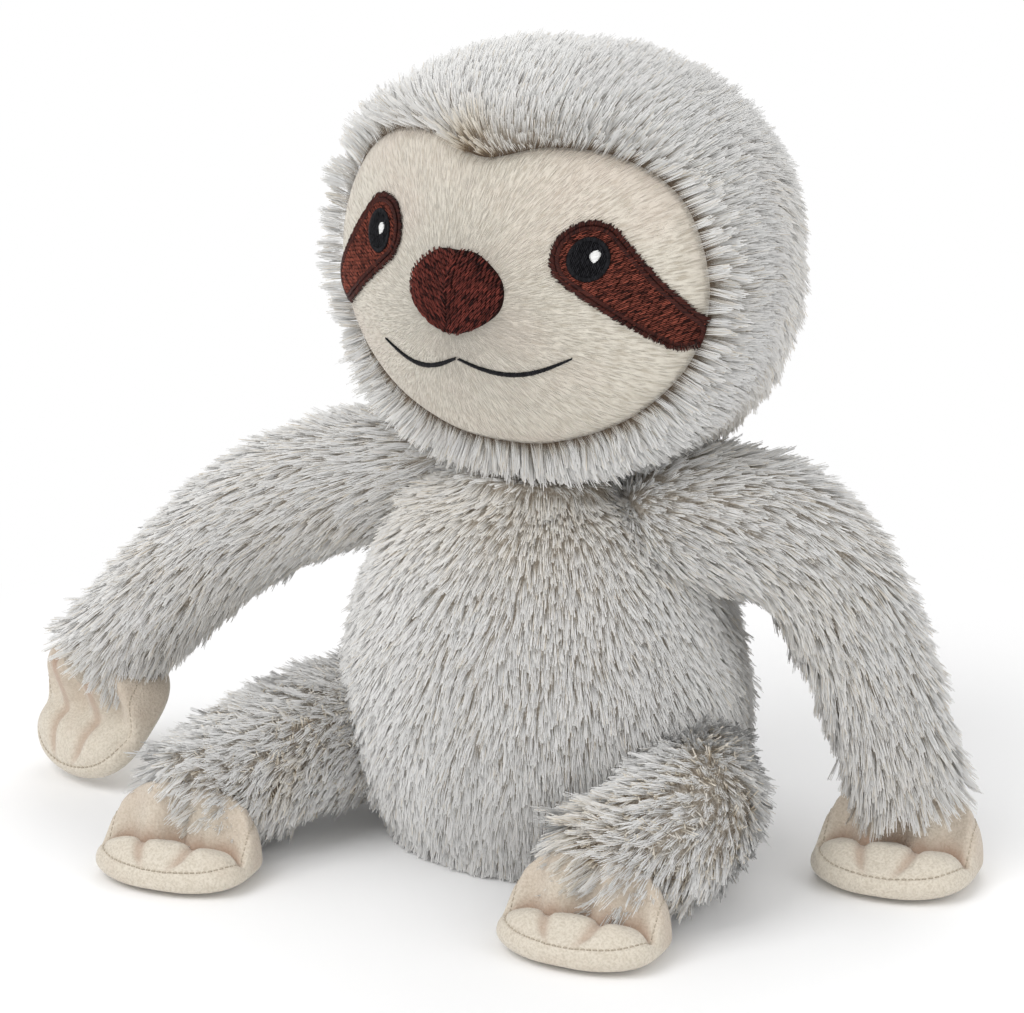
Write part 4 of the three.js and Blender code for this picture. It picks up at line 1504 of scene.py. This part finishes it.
@dataclass
class Head:
    """The head's cover, its pile, and the neck under it.

    A tone's range gives the distances or heights between which it comes in.
    """

    palette: Palette
    pivot: Array
    above_neck: float = 72.5 * MM
    behind_neck: float = 4 * MM
    face_ahead: float = 2 * MM
    squareness: float = 2.3
    inset: float = 2 * MM
    lip: float = 13 * MM
    pole: float = 0.996
    crowding: float = 1.15
    seam_shade: float = 5 * MM
    rows: int = 70
    columns: int = 128
    neck_inset: float = 0.6 * MM
    neck_grid: tuple[int, int] = (24, 40)
    neck_pole: float = 0.06
    neck_lumps: Pair = (9 * MM, 0.4 * MM)
    crown_heights: Pair = (15 * MM, 50 * MM)
    turning_range: Pair = (12 * MM, 40 * MM)
    turned_share: float = 0.85
    fringe_reach: float = 9 * MM
    fringe_tone: float = 0.12
    fringe_rise: float = 0.2
    patch_wave: float = 40 * MM
    patch_tone: float = 0.05
    crown_range: Pair = (10 * MM, 45 * MM)
    crown_tone: float = 0.12
    side_reach: float = 40 * MM
    side_heights: Pair = (8 * MM, -60 * MM)
    side_tone: float = 0.32
    dart_x: float = -2 * MM
    dart_reach: Pair = (5.5 * MM, 13 * MM)
    dart_tones: Pair = (0.7, 0.1)
    fringe_rings: tuple = ((0.9 * MM, 118), (-1.2 * MM, 150))
    fringe_sink: float = 1.4 * MM
    fringe_unrest: float = 0.25 * MM
    face: FaceForm = field(init=False)

    def __post_init__(self) -> None:
        """Places the head from the neck's joint, and reads its size from the frame."""
        _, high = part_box("head_left_panel")
        rise = np.array([0, 0, self.above_neck])
        self.centre = self.pivot + rise + [0, self.behind_neck, 0]
        self.radii = np.array([high.x, high.y - self.centre[1], high.z - self.centre[2]])
        self.face = FaceForm(self.centre - [0, self.face_ahead, 0])

    def surface(self, turn: Array, around: Array) -> Array:
        """Points of the squared ball.

        The distance from the middle is the power mean of the direction over the radii.

        Args:
            turn: angles from straight ahead.
            around: angles round that line, from +x towards +z.

        Returns:
            One point for each pair of angles.
        """
        heading = np.stack([np.sin(turn) * np.cos(around), -np.cos(turn),
                            np.sin(turn) * np.sin(around)], axis=-1)
        scaled = np.abs(heading / (self.radii - self.inset)) ** self.squareness
        return self.centre + heading * (scaled.sum(axis=-1) ** (-1 / self.squareness))[..., None]

    def skin(self) -> Skin:
        """The cover from the face's seam, over a rounded lip, to the back of the head.

        The squared ball is drawn to the seam by a fade, (1 - walked / lip) squared.
        """
        around = turns(self.columns)
        edge = self.face.reach(around)
        x, z = edge * np.cos(around), edge * np.sin(around)
        seam = self.face.place(x, z, -self.face.edge_sink)
        radii = self.radii - self.inset
        inside = 1 - np.abs(x / radii[0]) ** self.squareness
        inside = inside - np.abs(z / radii[2]) ** self.squareness
        ahead = radii[1] * np.maximum(inside, 0.01) ** (1 / self.squareness)
        first = np.arctan2(edge, ahead)
        share = np.linspace(0, 1, self.rows)[:, None] ** self.crowding
        turn = first + (math.pi * self.pole - first) * share
        outer = self.surface(turn, np.broadcast_to(around, turn.shape))
        sink = seam - self.surface(first, around)
        walked = np.linalg.norm(np.diff(outer, axis=0), axis=2)
        walked = np.concatenate([np.zeros((1, self.columns)), np.cumsum(walked, axis=0)])
        fade = (1 - np.clip(walked / self.lip, 0, 1)) ** 2
        return Skin(outer + sink * fade[..., None])

    def build(self) -> None:
        """Makes the cover, the neck, the face and the pile."""
        skin = self.skin()
        walked = np.linalg.norm(skin.points - skin.points[0], axis=2)
        # The marks paint shade on the backing near the face's sunken seam.
        cover = shell("head_cover", skin.points, np.exp(-(walked / self.seam_shade) ** 2))
        dress(cover, self.palette.pale_backing, "head",
              ("head_right_panel", "head_left_panel"))
        self.build_neck()
        Face(self.palette, self.face).build()
        self.build_pile(skin)
        self.build_fringe()

    def build_neck(self) -> None:
        """The filling in the neck: a ball with soft lumps."""
        low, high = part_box("neck_stuffing")
        radius = (high.x - low.x) / 2 - self.neck_inset
        rows, columns = self.neck_grid
        wave, depth = self.neck_lumps
        turn = np.linspace(self.neck_pole, math.pi - self.neck_pole, rows)[:, None]
        around = turns(columns)
        heading = np.stack([np.sin(turn) * np.cos(around), np.sin(turn) * np.sin(around),
                            np.broadcast_to(np.cos(turn), (rows, columns))], axis=-1)
        lumps = ripple(heading.reshape(-1, 3) * radius, wave, 2).reshape(rows, columns, 1)
        ball = shell("neck_filling", self.pivot + heading * (radius + lumps * depth))
        dress(ball, self.palette.fibre, "neck", ("neck_stuffing",))

    def build_pile(self, skin: Skin) -> None:
        """Pile that runs out and back from the face's seam, and down behind.

        Args:
            skin: the cover's surface.
        """
        coat = Coat(self.palette.pile, seed=31, tone=0.12, length=9.5 * MM, lift=0.45,
                    gather=0.9, unrest=0.12, mottle=0.07, unevenness=0.2)
        points, normals, along, walked = skin.scatter(coat.spacing, chance(30))
        local = points - self.face.centre
        crown = eased(*self.crown_heights, local[:, 2])
        turning = (eased(*self.turning_range, walked) * (1 - crown))[:, None]
        flows = along * (1 - self.turned_share * turning) + np.array([0, 0.12, -1]) * turning
        fringe = np.exp(-(walked / self.fringe_reach) ** 2)
        tones = ripple(points, self.patch_wave, 4) * self.patch_tone
        tones = tones + fringe * self.fringe_tone + self.dart(points, walked)
        tones = tones - self.crown_tone * eased(*self.crown_range, local[:, 1]) * crown
        side = turning[:, 0] * eased(0, self.side_reach, np.abs(local[:, 0]))
        lower = 0.5 + 0.5 * eased(*self.side_heights, local[:, 2])
        tones = tones + side * self.side_tone * lower
        raised = 1 + self.fringe_rise * fringe
        coat.grow("head_pile", "head", points, normals, flows, tones, raised, raised)

    def dart(self, points: Array, walked: Array) -> Array:
        """How much darker the pile is round the dart that the forehead's seam makes.

        Args:
            points: tuft roots.
            walked: their distances from the seam.

        Returns:
            One tone for each tuft.
        """
        x = points[:, 0]
        near = np.exp(-((x - self.dart_x) ** 2 + walked ** 2) / self.dart_reach[0] ** 2)
        wide = np.exp(-(x ** 2 + walked ** 2) / self.dart_reach[1] ** 2)
        tones = self.dart_tones[0] * near + self.dart_tones[1] * wide
        return tones * (points[:, 2] > self.face.centre[2])

    def build_fringe(self) -> None:
        """Short tufts in the face's seam, which stand out from it in two rings."""
        coat = Coat(self.palette.pile, seed=34, tone=0.2, length=11 * MM, lift=0.42, members=30,
                    spread=1.4 * MM, gather=0.8, unrest=0.2, mottle=0.16, streaks=0.1,
                    thread=0.13 * MM)
        rng = chance(35)
        angle = turns(720)
        edge = self.face.reach(angle)
        roots = []
        for inset, count in self.fringe_rings:
            x, z = (edge - inset) * [np.cos(angle), np.sin(angle)]
            roots.append(resampled(self.face.place(x, z, -self.fringe_sink), count, True))
        roots = np.vstack(roots)
        roots = roots + rng.normal(0, self.fringe_unrest, roots.shape)
        roots = roots[rng.uniform(0, 1, len(roots)) > self.dart(roots, np.zeros(len(roots)))]
        outward = unit((roots - self.face.centre) * [1, 0, 1])
        normals = unit(outward * 0.45 + [0, -0.9, 0])
        flows = outward + [0, 0.5, 0]
        tones = self.dart(roots, np.zeros(len(roots))) + rng.normal(0, 0.07, len(roots))
        coat.grow("fringe_pile", "head", roots, normals, flows, tones)


class LimbKind(Enum):
    """An arm or a leg: its name, its joints, its mitt, and the mitt's underside and digits."""

    ARM = ("arm", "shoulder", "wrist", "hand", "palm", "finger")
    LEG = ("leg", "hip", "ankle", "foot", "sole", "toe")

    def __init__(self, label: str, root: str, end: str, mitt: str, under: str, digit: str
                 ) -> None:
        """Names what a kind has."""
        self.label, self.root, self.end = label, root, end
        self.mitt, self.under, self.digit = mitt, under, digit


@dataclass
class Mitt:
    """A hand or foot in velour: flat below, arched above, with three drawn-in toes.

    In its own frame it points to -Y. A place is a share of the way from heel to toe, and a share
    across from -1 to 1. Yaw and tip are in degrees, and the depths of creases in millimetres.
    """

    palette: Palette
    kind: LimbKind
    side: Side
    heel: float
    yaw: float
    tip: float
    width: float = 51 * MM
    toe: float = 34 * MM
    back_height: float = 28 * MM
    toe_height: float = 12 * MM
    rim: float = 5 * MM
    sole_lift: float = 0.3 * MM
    squareness: float = 3.2
    zigzag: Pair = (0.05, 9.4)
    fold_place: Pair = (0.57, 0.032)
    step_range: Pair = (0.36, 0.60)
    toe_pad: Triple = (0.76, 0.13, 2.5 * MM)
    channel_place: Pair = (0.34, 0.075)
    channel_starts: Pair = (0.25, 0.52)
    channel_fade: float = 0.12
    crease_depths: Triple = (2.4, 2.0, 1.1)
    seam_share: float = 0.8
    seam_width: float = 0.05
    instep_shade: Triple = (0.62, 0.42, 0.3)
    channel_shade: float = 0.8
    pole: float = 0.03
    rows: int = 110
    columns: int = 90
    stitches: int = 55
    stitch_turn: float = 0.45
    stitch_rises: tuple = (0.0, 0.25, 0.25, 0.0)
    stitch_radius: float = 0.26 * MM

    def __post_init__(self) -> None:
        """Works out the turn of the mitt's frame and the height of its sole."""
        self.body = f"{self.kind.mitt}_{self.side.label}"
        self.end = joint_place(f"{self.kind.end}_{self.side.label}")
        self.folded = self.tip == 0
        turn, lean = math.radians(self.yaw), math.radians(self.tip)
        yaw = np.array([[math.cos(turn), -math.sin(turn), 0],
                        [math.sin(turn), math.cos(turn), 0], [0, 0, 1]])
        tip = np.array([[1, 0, 0], [0, math.cos(lean), -math.sin(lean)],
                        [0, math.sin(lean), math.cos(lean)]])
        self.matrix = yaw @ tip
        drop = self.end[2] - self.sole_lift - self.toe * math.sin(lean)
        self.sole = -drop / math.cos(lean)

    def creases(self, share: Array, across: Array) -> tuple[Array, Array]:
        """The zigzag fold over the instep, and the channels between the digits, each 0 to 1.

        Each is a bell curve of the distance to its middle line, faded out at its ends. A mitt
        that is tipped has no fold, and its channels start nearer the heel.

        Args:
            share: shares of the way from heel to toe.
            across: shares across.

        Returns:
            The fold's depth and the channels' depth.
        """
        middle, width = self.fold_place
        depth, turns_across = self.zigzag
        middle = middle - depth * np.cos(across * turns_across)
        fold = np.exp(-((share - middle) / width) ** 2) * eased(1.0, 0.8, np.abs(across))
        middle, width = self.channel_place
        channel = np.exp(-((np.abs(across) - middle) / width) ** 2)
        start = self.channel_starts[self.folded]
        channel = channel * eased(start, start + self.channel_fade, share)
        return fold * self.folded, channel * eased(1.0, 0.86, share)

    def height(self, share: Array, across: Array) -> Array:
        """The upper's height over the rim: a puffed instep, a step down, and a flat toe pad.

        Args:
            share: shares of the way from heel to toe.
            across: shares across.

        Returns:
            One height for each place.
        """
        girth = self.roundness(share)
        depth, turns_across = self.zigzag
        step = eased(*self.step_range, share + depth * np.cos(across * turns_across))
        crest = self.back_height + (self.toe_height - self.back_height) * step
        middle, spread, rise = self.toe_pad
        pad = rise * np.exp(-((share - middle) / spread) ** 2)
        arch = np.sqrt(np.clip(1 - np.abs(across) ** self.squareness, 0, 1))
        fold, channel = self.creases(share, across)
        inside = across ** 2 + (1 - across ** 2) * np.abs(2 * share - 1) ** self.squareness
        seam = np.exp(-((inside - self.seam_share) / self.seam_width) ** 2)
        fold_depth, channel_depth, seam_depth = self.crease_depths
        drawn = (fold_depth * fold + channel_depth * channel + seam_depth * seam) * MM * girth
        return (crest - self.rim + pad) * girth * arch - drawn

    def roundness(self, share: Array) -> Array:
        """How wide the mitt is along its length, as a share of its widest."""
        return np.sqrt(np.clip(1 - np.abs(2 * share - 1) ** self.squareness, 0, 1))

    def place(self, share: Array, angle: Array) -> Array:
        """Points round the mitt: angle 0 to pi runs over the top, pi to 2 pi under the sole.

        Args:
            share: shares of the way from heel to toe.
            angle: angles round the mitt, whose cosine is the share across.

        Returns:
            One point for each place.
        """
        across = np.cos(angle)
        girth = self.roundness(share)
        over = self.height(share, across)
        under = -self.rim * np.sqrt(np.clip((1 - across ** 4) * girth, 0, 1))
        up = np.where(angle <= math.pi, over, under)
        x = across * self.width / 2 * girth
        y = self.heel - (self.heel + self.toe) * share
        z = self.sole + self.rim + up
        points = np.stack([x, np.broadcast_to(y, x.shape), z], axis=-1)
        return points @ self.matrix.T + self.end

    def build(self) -> None:
        """Makes the mitt and its stitched rim."""
        turn = np.linspace(self.pole, math.pi - self.pole, self.rows)
        share = (1 - np.cos(turn))[:, None] / 2
        share, angle = np.broadcast_arrays(share, turns(self.columns))
        points = self.place(share, angle)
        # The marks paint shade into the fold, the channels between the digits and over the
        # instep.
        fold, channel = self.creases(share, np.cos(angle))
        high, low, shade = self.instep_shade
        instep = shade * eased(high, low, share)
        marks = np.clip(fold + self.channel_shade * channel + instep, 0, 1) * (angle < math.pi)
        kind, label = self.kind, self.side.label
        cover = shell(f"{kind.mitt}_cover_{label}", points, marks)
        nodes = [f"{kind.mitt}_{part}_{label}" for part in ("upper", kind.under, "stuffing")]
        dress(cover, self.palette.mitt, self.body, nodes)
        self.build_stitches()

    def build_stitches(self) -> None:
        """The row of stitches that sets the rolled rim off from the upper.

        It runs where across squared plus (1 - across squared) times (2 share - 1) to the
        squareness is the seam's share.
        """
        count = self.stitches
        turn = np.linspace(-self.stitch_turn, math.pi + self.stitch_turn, 400)
        x = math.sqrt(self.seam_share) * np.cos(turn)
        level = self.seam_share * np.sin(turn) ** 2
        share = (1 + np.sign(np.sin(turn)) * level ** (1 / self.squareness)) / 2
        angle = np.arccos(np.clip(x / np.sqrt(1 - level), -1, 1))
        line = resampled(self.place(share, angle), count * 5, False)
        dashes = line.reshape(count, 5, 3)[:, :4]
        above = unit(self.matrix @ np.array([0, 0, 1.0]))
        dashes = dashes + above * np.array(self.stitch_rises)[None, :, None] * MM
        radii = np.full(dashes.shape[:2], self.stitch_radius)
        kind, label = self.kind, self.side.label
        thread = laid_threads(f"{kind.mitt}_stitches_{label}", dashes, radii,
                              np.repeat(above[None], count, axis=0), np.full(count, 0.5))
        nodes = [f"{kind.digit}_thread_{label}_{place}" for place in ("inner", "outer")]
        dress(thread, self.palette.mitt_thread, self.body, nodes)


@dataclass
class Limb:
    """An arm or leg: a bowed, swelling sleeve, its pile, and the mitt at its end.

    The pile ends at a distance past the mitt's joint, and may grow longer there.
    """

    palette: Palette
    mitt: Mitt
    bow: Triple
    root_radius: float
    swell: float
    end_radius: float
    coat: Coat
    pile_end: float
    end_stretch: float
    undercoat: Coat | None
    patches: float
    inset: float = 2 * MM
    rows: int = 44
    columns: int = 40
    dome_rows: int = 9
    dome_angles: Pair = (85, 8)
    end_dome: float = 0.4
    probe: float = 1e-3
    patch_wave: float = 26 * MM
    end_range: float = -16 * MM
    end_lift: float = 0.45
    # Painted shade on the sleeve's underside, where the normals point down.
    under_heights: Pair = (0.3, -0.8)
    under_tone: float = 0.1
    undercoat_share: float = 0.8
    undercoat_unrest: float = 0.8

    def __post_init__(self) -> None:
        """Places the limb between its two joints."""
        self.label = self.mitt.kind.label
        self.side = self.mitt.side.label
        self.body = f"{self.label}_{self.side}"
        self.root = joint_place(f"{self.mitt.kind.root}_{self.side}")
        self.end = self.mitt.end

    def line(self, share: Array) -> Array:
        """The sleeve's middle line: straight from end to end plus the bow times sin(pi share)."""
        straight = self.root + (self.end - self.root) * share[:, None]
        return straight + np.array(self.bow) * np.sin(math.pi * share)[:, None]

    def skin(self) -> Skin:
        """Rings along the line from a dome at the root to a flatter one at the end.

        A ring's radius runs from the root's to the end's, plus the swell times sin(pi share). On
        a dome it shrinks by cos a and slides along by sin a.
        """
        count = self.dome_rows
        dome = np.radians(np.linspace(*self.dome_angles, count))
        share = np.concatenate([np.zeros(count), np.linspace(0, 1, self.rows), np.ones(count)])
        slide = np.concatenate([-np.sin(dome), np.zeros(self.rows),
                                self.end_dome * np.sin(dome[::-1])])
        shrink = np.concatenate([np.cos(dome), np.ones(self.rows), np.cos(dome[::-1])])
        swelling = self.root_radius + (self.end_radius - self.root_radius) * share
        radius = swelling + self.swell * np.sin(math.pi * share) - self.inset
        beyond = self.line(np.minimum(share + self.probe, 1))
        heading = unit(beyond - self.line(np.maximum(share - self.probe, 0)))
        middle = self.line(share) + heading * (slide * radius)[:, None]
        side = unit(np.cross(heading, [0.0, 0.0, 1.0]))
        up = np.cross(side, heading)
        angle = turns(self.columns)[:, None]
        spoke = side[:, None] * np.cos(angle) + up[:, None] * np.sin(angle)
        return Skin(middle[:, None] + spoke * (radius * shrink)[:, None, None])

    def build(self) -> None:
        """Makes the sleeve, its mitt and the pile."""
        skin = self.skin()
        cover = shell(f"{self.label}_cover_{self.side}", skin.points)
        nodes = [f"{self.label}_{part}_{self.side}" for part in ("sleeve", "stuffing")]
        dress(cover, self.palette.pale_backing, self.body, nodes)
        self.mitt.build()
        self.build_pile(skin)

    def build_pile(self, skin: Skin) -> None:
        """Pile that runs along the sleeve and over its end.

        Args:
            skin: the sleeve's surface.
        """
        rng = chance(self.coat.seed)
        points, normals, along, _ = skin.scatter(self.coat.spacing, rng)
        heading = unit(self.end - self.line(np.array([0.97]))[0])
        keep = (points - self.end) @ heading < self.pile_end
        points, normals, along = points[keep], normals[keep], along[keep]
        flows = along + np.array([0, 0, -0.25])
        # Painted shade darkens the pile on the sleeve's underside.
        under = eased(*self.under_heights, normals[:, 2]) * self.under_tone
        tones = ripple(points, self.patch_wave, self.coat.seed + 2) * self.patches + under
        near_end = eased(self.end_range, self.pile_end, (points - self.end) @ heading)
        self.coat.grow(f"{self.label}_pile_{self.side}", self.body, points, normals, flows,
                       tones, 1 + self.end_lift * near_end, 1 + self.end_stretch * near_end)
        if self.undercoat:
            kept = rng.uniform(0, 1, len(points)) < self.undercoat_share
            flat = flows[kept] + rng.normal(0, self.undercoat_unrest, (kept.sum(), 3))
            self.undercoat.grow(f"{self.label}_undercoat_{self.side}", self.body, points[kept],
                                normals[kept], flat, tones[kept])


@dataclass(frozen=True)
class Lamp:
    """A square soft lamp: its place round the aim, in degrees and metres, and its light."""

    name: str
    azimuth: float
    elevation: float
    distance: float
    size: float
    power: float


@dataclass
class Studio:
    """The camera, the lights, the floor and the white surroundings."""

    azimuth: float = 34
    elevation: float = 17
    distance: float = 1.1
    aim: Triple = (-25.47 * MM, 18.88 * MM, 97.77 * MM)
    lens: float = 120.85
    sensor: float = 36
    clip: Pair = (0.05, 50)
    floor_size: float = 8
    floor_colour: Triple = (0.97, 0.97, 0.972)
    floor_fade: Pair = (0.2, 0.32)
    sky: float = 0.62
    lamps: tuple[Lamp, ...] = (Lamp("key_lamp", -20, 48, 1.6, 1.1, 11),
                               Lamp("fill_lamp", 95, 30, 1.8, 1.4, 6.5),
                               Lamp("low_lamp", 25, 10, 1.8, 0.6, 4.5),
                               Lamp("back_lamp", 200, 50, 1.8, 1.2, 8))

    def set_up(self, name: str, data: bpy.types.ID, azimuth: float, elevation: float,
               distance: float) -> Piece:
        """Puts a camera or lamp round the aim, and turns it to look there.

        Args:
            name: the object's name.
            data: its camera or light.
            azimuth: degrees round from the toy's front, towards its left.
            elevation: degrees up.
            distance: how far it is from the aim.

        Returns:
            The new object.
        """
        turn, rise = math.radians(azimuth), math.radians(elevation)
        back = Vector((math.sin(turn) * math.cos(rise), -math.cos(turn) * math.cos(rise),
                       math.sin(rise)))
        thing = bpy.data.objects.new(name, data)
        bpy.context.scene.collection.objects.link(thing)
        thing.location = Vector(self.aim) + back * distance
        thing.rotation_mode = "QUATERNION"
        thing.rotation_quaternion = (-back).to_track_quat("-Z", "Y")
        return thing

    def build(self) -> None:
        """Makes everything round the toy."""
        self.build_camera()
        self.build_floor()
        for lamp in self.lamps:
            data = bpy.data.lights.new(lamp.name, "AREA")
            data.size, data.energy = lamp.size, lamp.power
            self.set_up(lamp.name, data, lamp.azimuth, lamp.elevation, lamp.distance)
        self.build_world()
        bpy.context.scene.view_settings.view_transform = "Standard"

    def build_camera(self) -> None:
        """A camera at the photograph's angle."""
        data = bpy.data.cameras.new("camera")
        data.lens, data.sensor_width = self.lens, self.sensor
        data.clip_start, data.clip_end = self.clip
        camera = self.set_up("camera", data, self.azimuth, self.elevation, self.distance)
        bpy.context.scene.camera = camera

    def build_floor(self) -> None:
        """A pale floor, white to the camera away from the toy's shadow."""
        signs = np.array([[-1, -1, 0], [1, -1, 0], [1, 1, 0], [-1, 1, 0]])
        floor = make_piece("floor", signs * self.floor_size / 2, [np.array([[0, 1, 2, 3]])])
        recipe = Recipe("floor_paint")
        place = recipe.place()
        reach = recipe.out("ShaderNodeVectorMath", {"operation": "LENGTH"}, {0: place}, "Value")
        cloth = recipe.out("ShaderNodeBsdfDiffuse", None, {0: (*self.floor_colour, 1)})
        glow = recipe.out("ShaderNodeEmission", None, {0: WHITE, 1: 1.0})
        far = reach.step(*self.floor_fade) * recipe.seen()
        mixed = recipe.out("ShaderNodeMixShader", None, {0: far, 1: cloth, 2: glow})
        recipe.node("ShaderNodeOutputMaterial", None, {0: mixed})
        floor.data.materials.append(recipe.owner)

    def build_world(self) -> None:
        """An even white sky, which the camera sees as pure white."""
        recipe = Recipe("surroundings", world=True)
        light = recipe.out("ShaderNodeBackground", None, {0: WHITE, 1: self.sky})
        white = recipe.out("ShaderNodeBackground", None, {0: WHITE, 1: 1.0})
        mixed = recipe.out("ShaderNodeMixShader", None, {0: recipe.seen(), 1: light, 2: white})
        recipe.node("ShaderNodeOutputWorld", None, {0: mixed})
        bpy.context.scene.world = recipe.owner


def make_palette() -> Palette:
    """Builds every finish once."""
    threads = {
        "mitt_thread": ThreadFinish("mitt_thread", (0.36, 0.3, 0.225), (0.66, 0.6, 0.5), 0.7),
        "patch": ThreadFinish("rust_thread", (0.022, 0.005, 0.004), (0.34, 0.088, 0.056), 0.6),
        "border": ThreadFinish("umber_thread", (0.010, 0.003, 0.003), (0.10, 0.024, 0.016)),
        "nose": ThreadFinish("maroon_thread", (0.009, 0.002, 0.002), (0.24, 0.052, 0.038), 0.5),
        "black": ThreadFinish("black_thread", (0.003, 0.003, 0.004), (0.022, 0.022, 0.026)),
        "white": ThreadFinish("white_thread", (0.75, 0.75, 0.74), (0.92, 0.92, 0.91)),
    }
    cloths = {
        "pile": PileFinish(),
        "backing": BackingFinish(),
        "pale_backing": BackingFinish("pale_backing", (0.42, 0.36, 0.29), (0.7, 0.65, 0.58)),
        "face": VelourFinish("face_velour"),
        "mitt": TowelFinish(),
        # The rust and maroon grounds stand for felt pads, coloured near black as painted shade
        # between the stitches.
        "patch_ground": FeltFinish("rust_ground", (0.01, 0.003, 0.002), (0.04, 0.01, 0.006)),
        "nose_ground": FeltFinish("maroon_ground", (0.006, 0.002, 0.002),
                                  (0.025, 0.007, 0.005)),
        "black_ground": FeltFinish("black_ground", (0.002, 0.002, 0.003),
                                   (0.012, 0.012, 0.014)),
        "fibre": FeltFinish("fibre_filling", (0.70, 0.69, 0.67), (0.88, 0.87, 0.85), 300),
    }
    return Palette(**{name: finish.material() for name, finish in (cloths | threads).items()})


def make_limbs(palette: Palette) -> list[Limb]:
    """The two arms and the two legs, placed by the frame's joints.

    Each plan gives a limb's bow, its mitt's heel, yaw and tip, and its pile's end and stretch.

    Args:
        palette: the shared materials.

    Returns:
        The limbs.
    """
    plans = [
        (LimbKind.ARM, Side.RIGHT, (0, 0, 19 * MM), (14 * MM, -14, 48), (-6 * MM, 0)),
        (LimbKind.ARM, Side.LEFT, (7 * MM, 0, 28 * MM), (14 * MM, 12, 0), (-1 * MM, 0.2)),
        (LimbKind.LEG, Side.RIGHT, (0, 0, 4 * MM), (3 * MM, 12, 0), (5 * MM, 0.2)),
        (LimbKind.LEG, Side.LEFT, (14 * MM, 0, 4 * MM), (3 * MM, 8, 0), (6 * MM, 0.3)),
    ]
    limbs = []
    for number, (kind, side, bow, shape, (pile_end, end_stretch)) in enumerate(plans):
        mitt = Mitt(palette, kind, side, *shape)
        if kind is LimbKind.LEG:
            root_radius, swell, end_radius = 20 * MM, 2 * MM, 17 * MM
            coat = Coat(palette.pile, seed=50 + number, unrest=0.4, tone=0.05, mottle=0.12,
                        length=11 * MM, lift=0.5, spacing=2.0 * MM, members=10, gather=0.65,
                        streaks=0.1, spread=1.1 * MM)
            under = Coat(palette.pile, seed=60 + number, unrest=0.9, tone=0.75, length=6.5 * MM,
                         lift=0.55, members=3, spread=1.3 * MM, gather=0.8, thread=0.22 * MM)
            patches = 0.4
        else:
            root_radius, swell, end_radius = 21 * MM, 1 * MM, 16 * MM
            coat = Coat(palette.pile, seed=50 + number, unrest=0.22, tone=0.2, length=11 * MM,
                        lift=0.4, spacing=1.9 * MM, members=9, gather=0.85, streaks=0.1)
            under, patches = None, 0.08
        limbs.append(Limb(palette, mitt, bow, root_radius, swell, end_radius, coat, pile_end,
                          end_stretch, under, patches))
    return limbs


def corners(bounds: tuple) -> list:
    """A box's two corners as plain lists."""
    return [list(corner) for corner in bounds]


def main() -> None:
    """Builds the toy, body by body, and the studio round it."""
    logging.basicConfig(level=logging.INFO, format="%(name)s: %(message)s")
    palette = make_palette()
    Torso(palette).build()
    Head(palette, joint_place("neck_nod")).build()
    for limb in make_limbs(palette):
        limb.build()
    Studio().build()


if __name__ == "__main__":
    main()
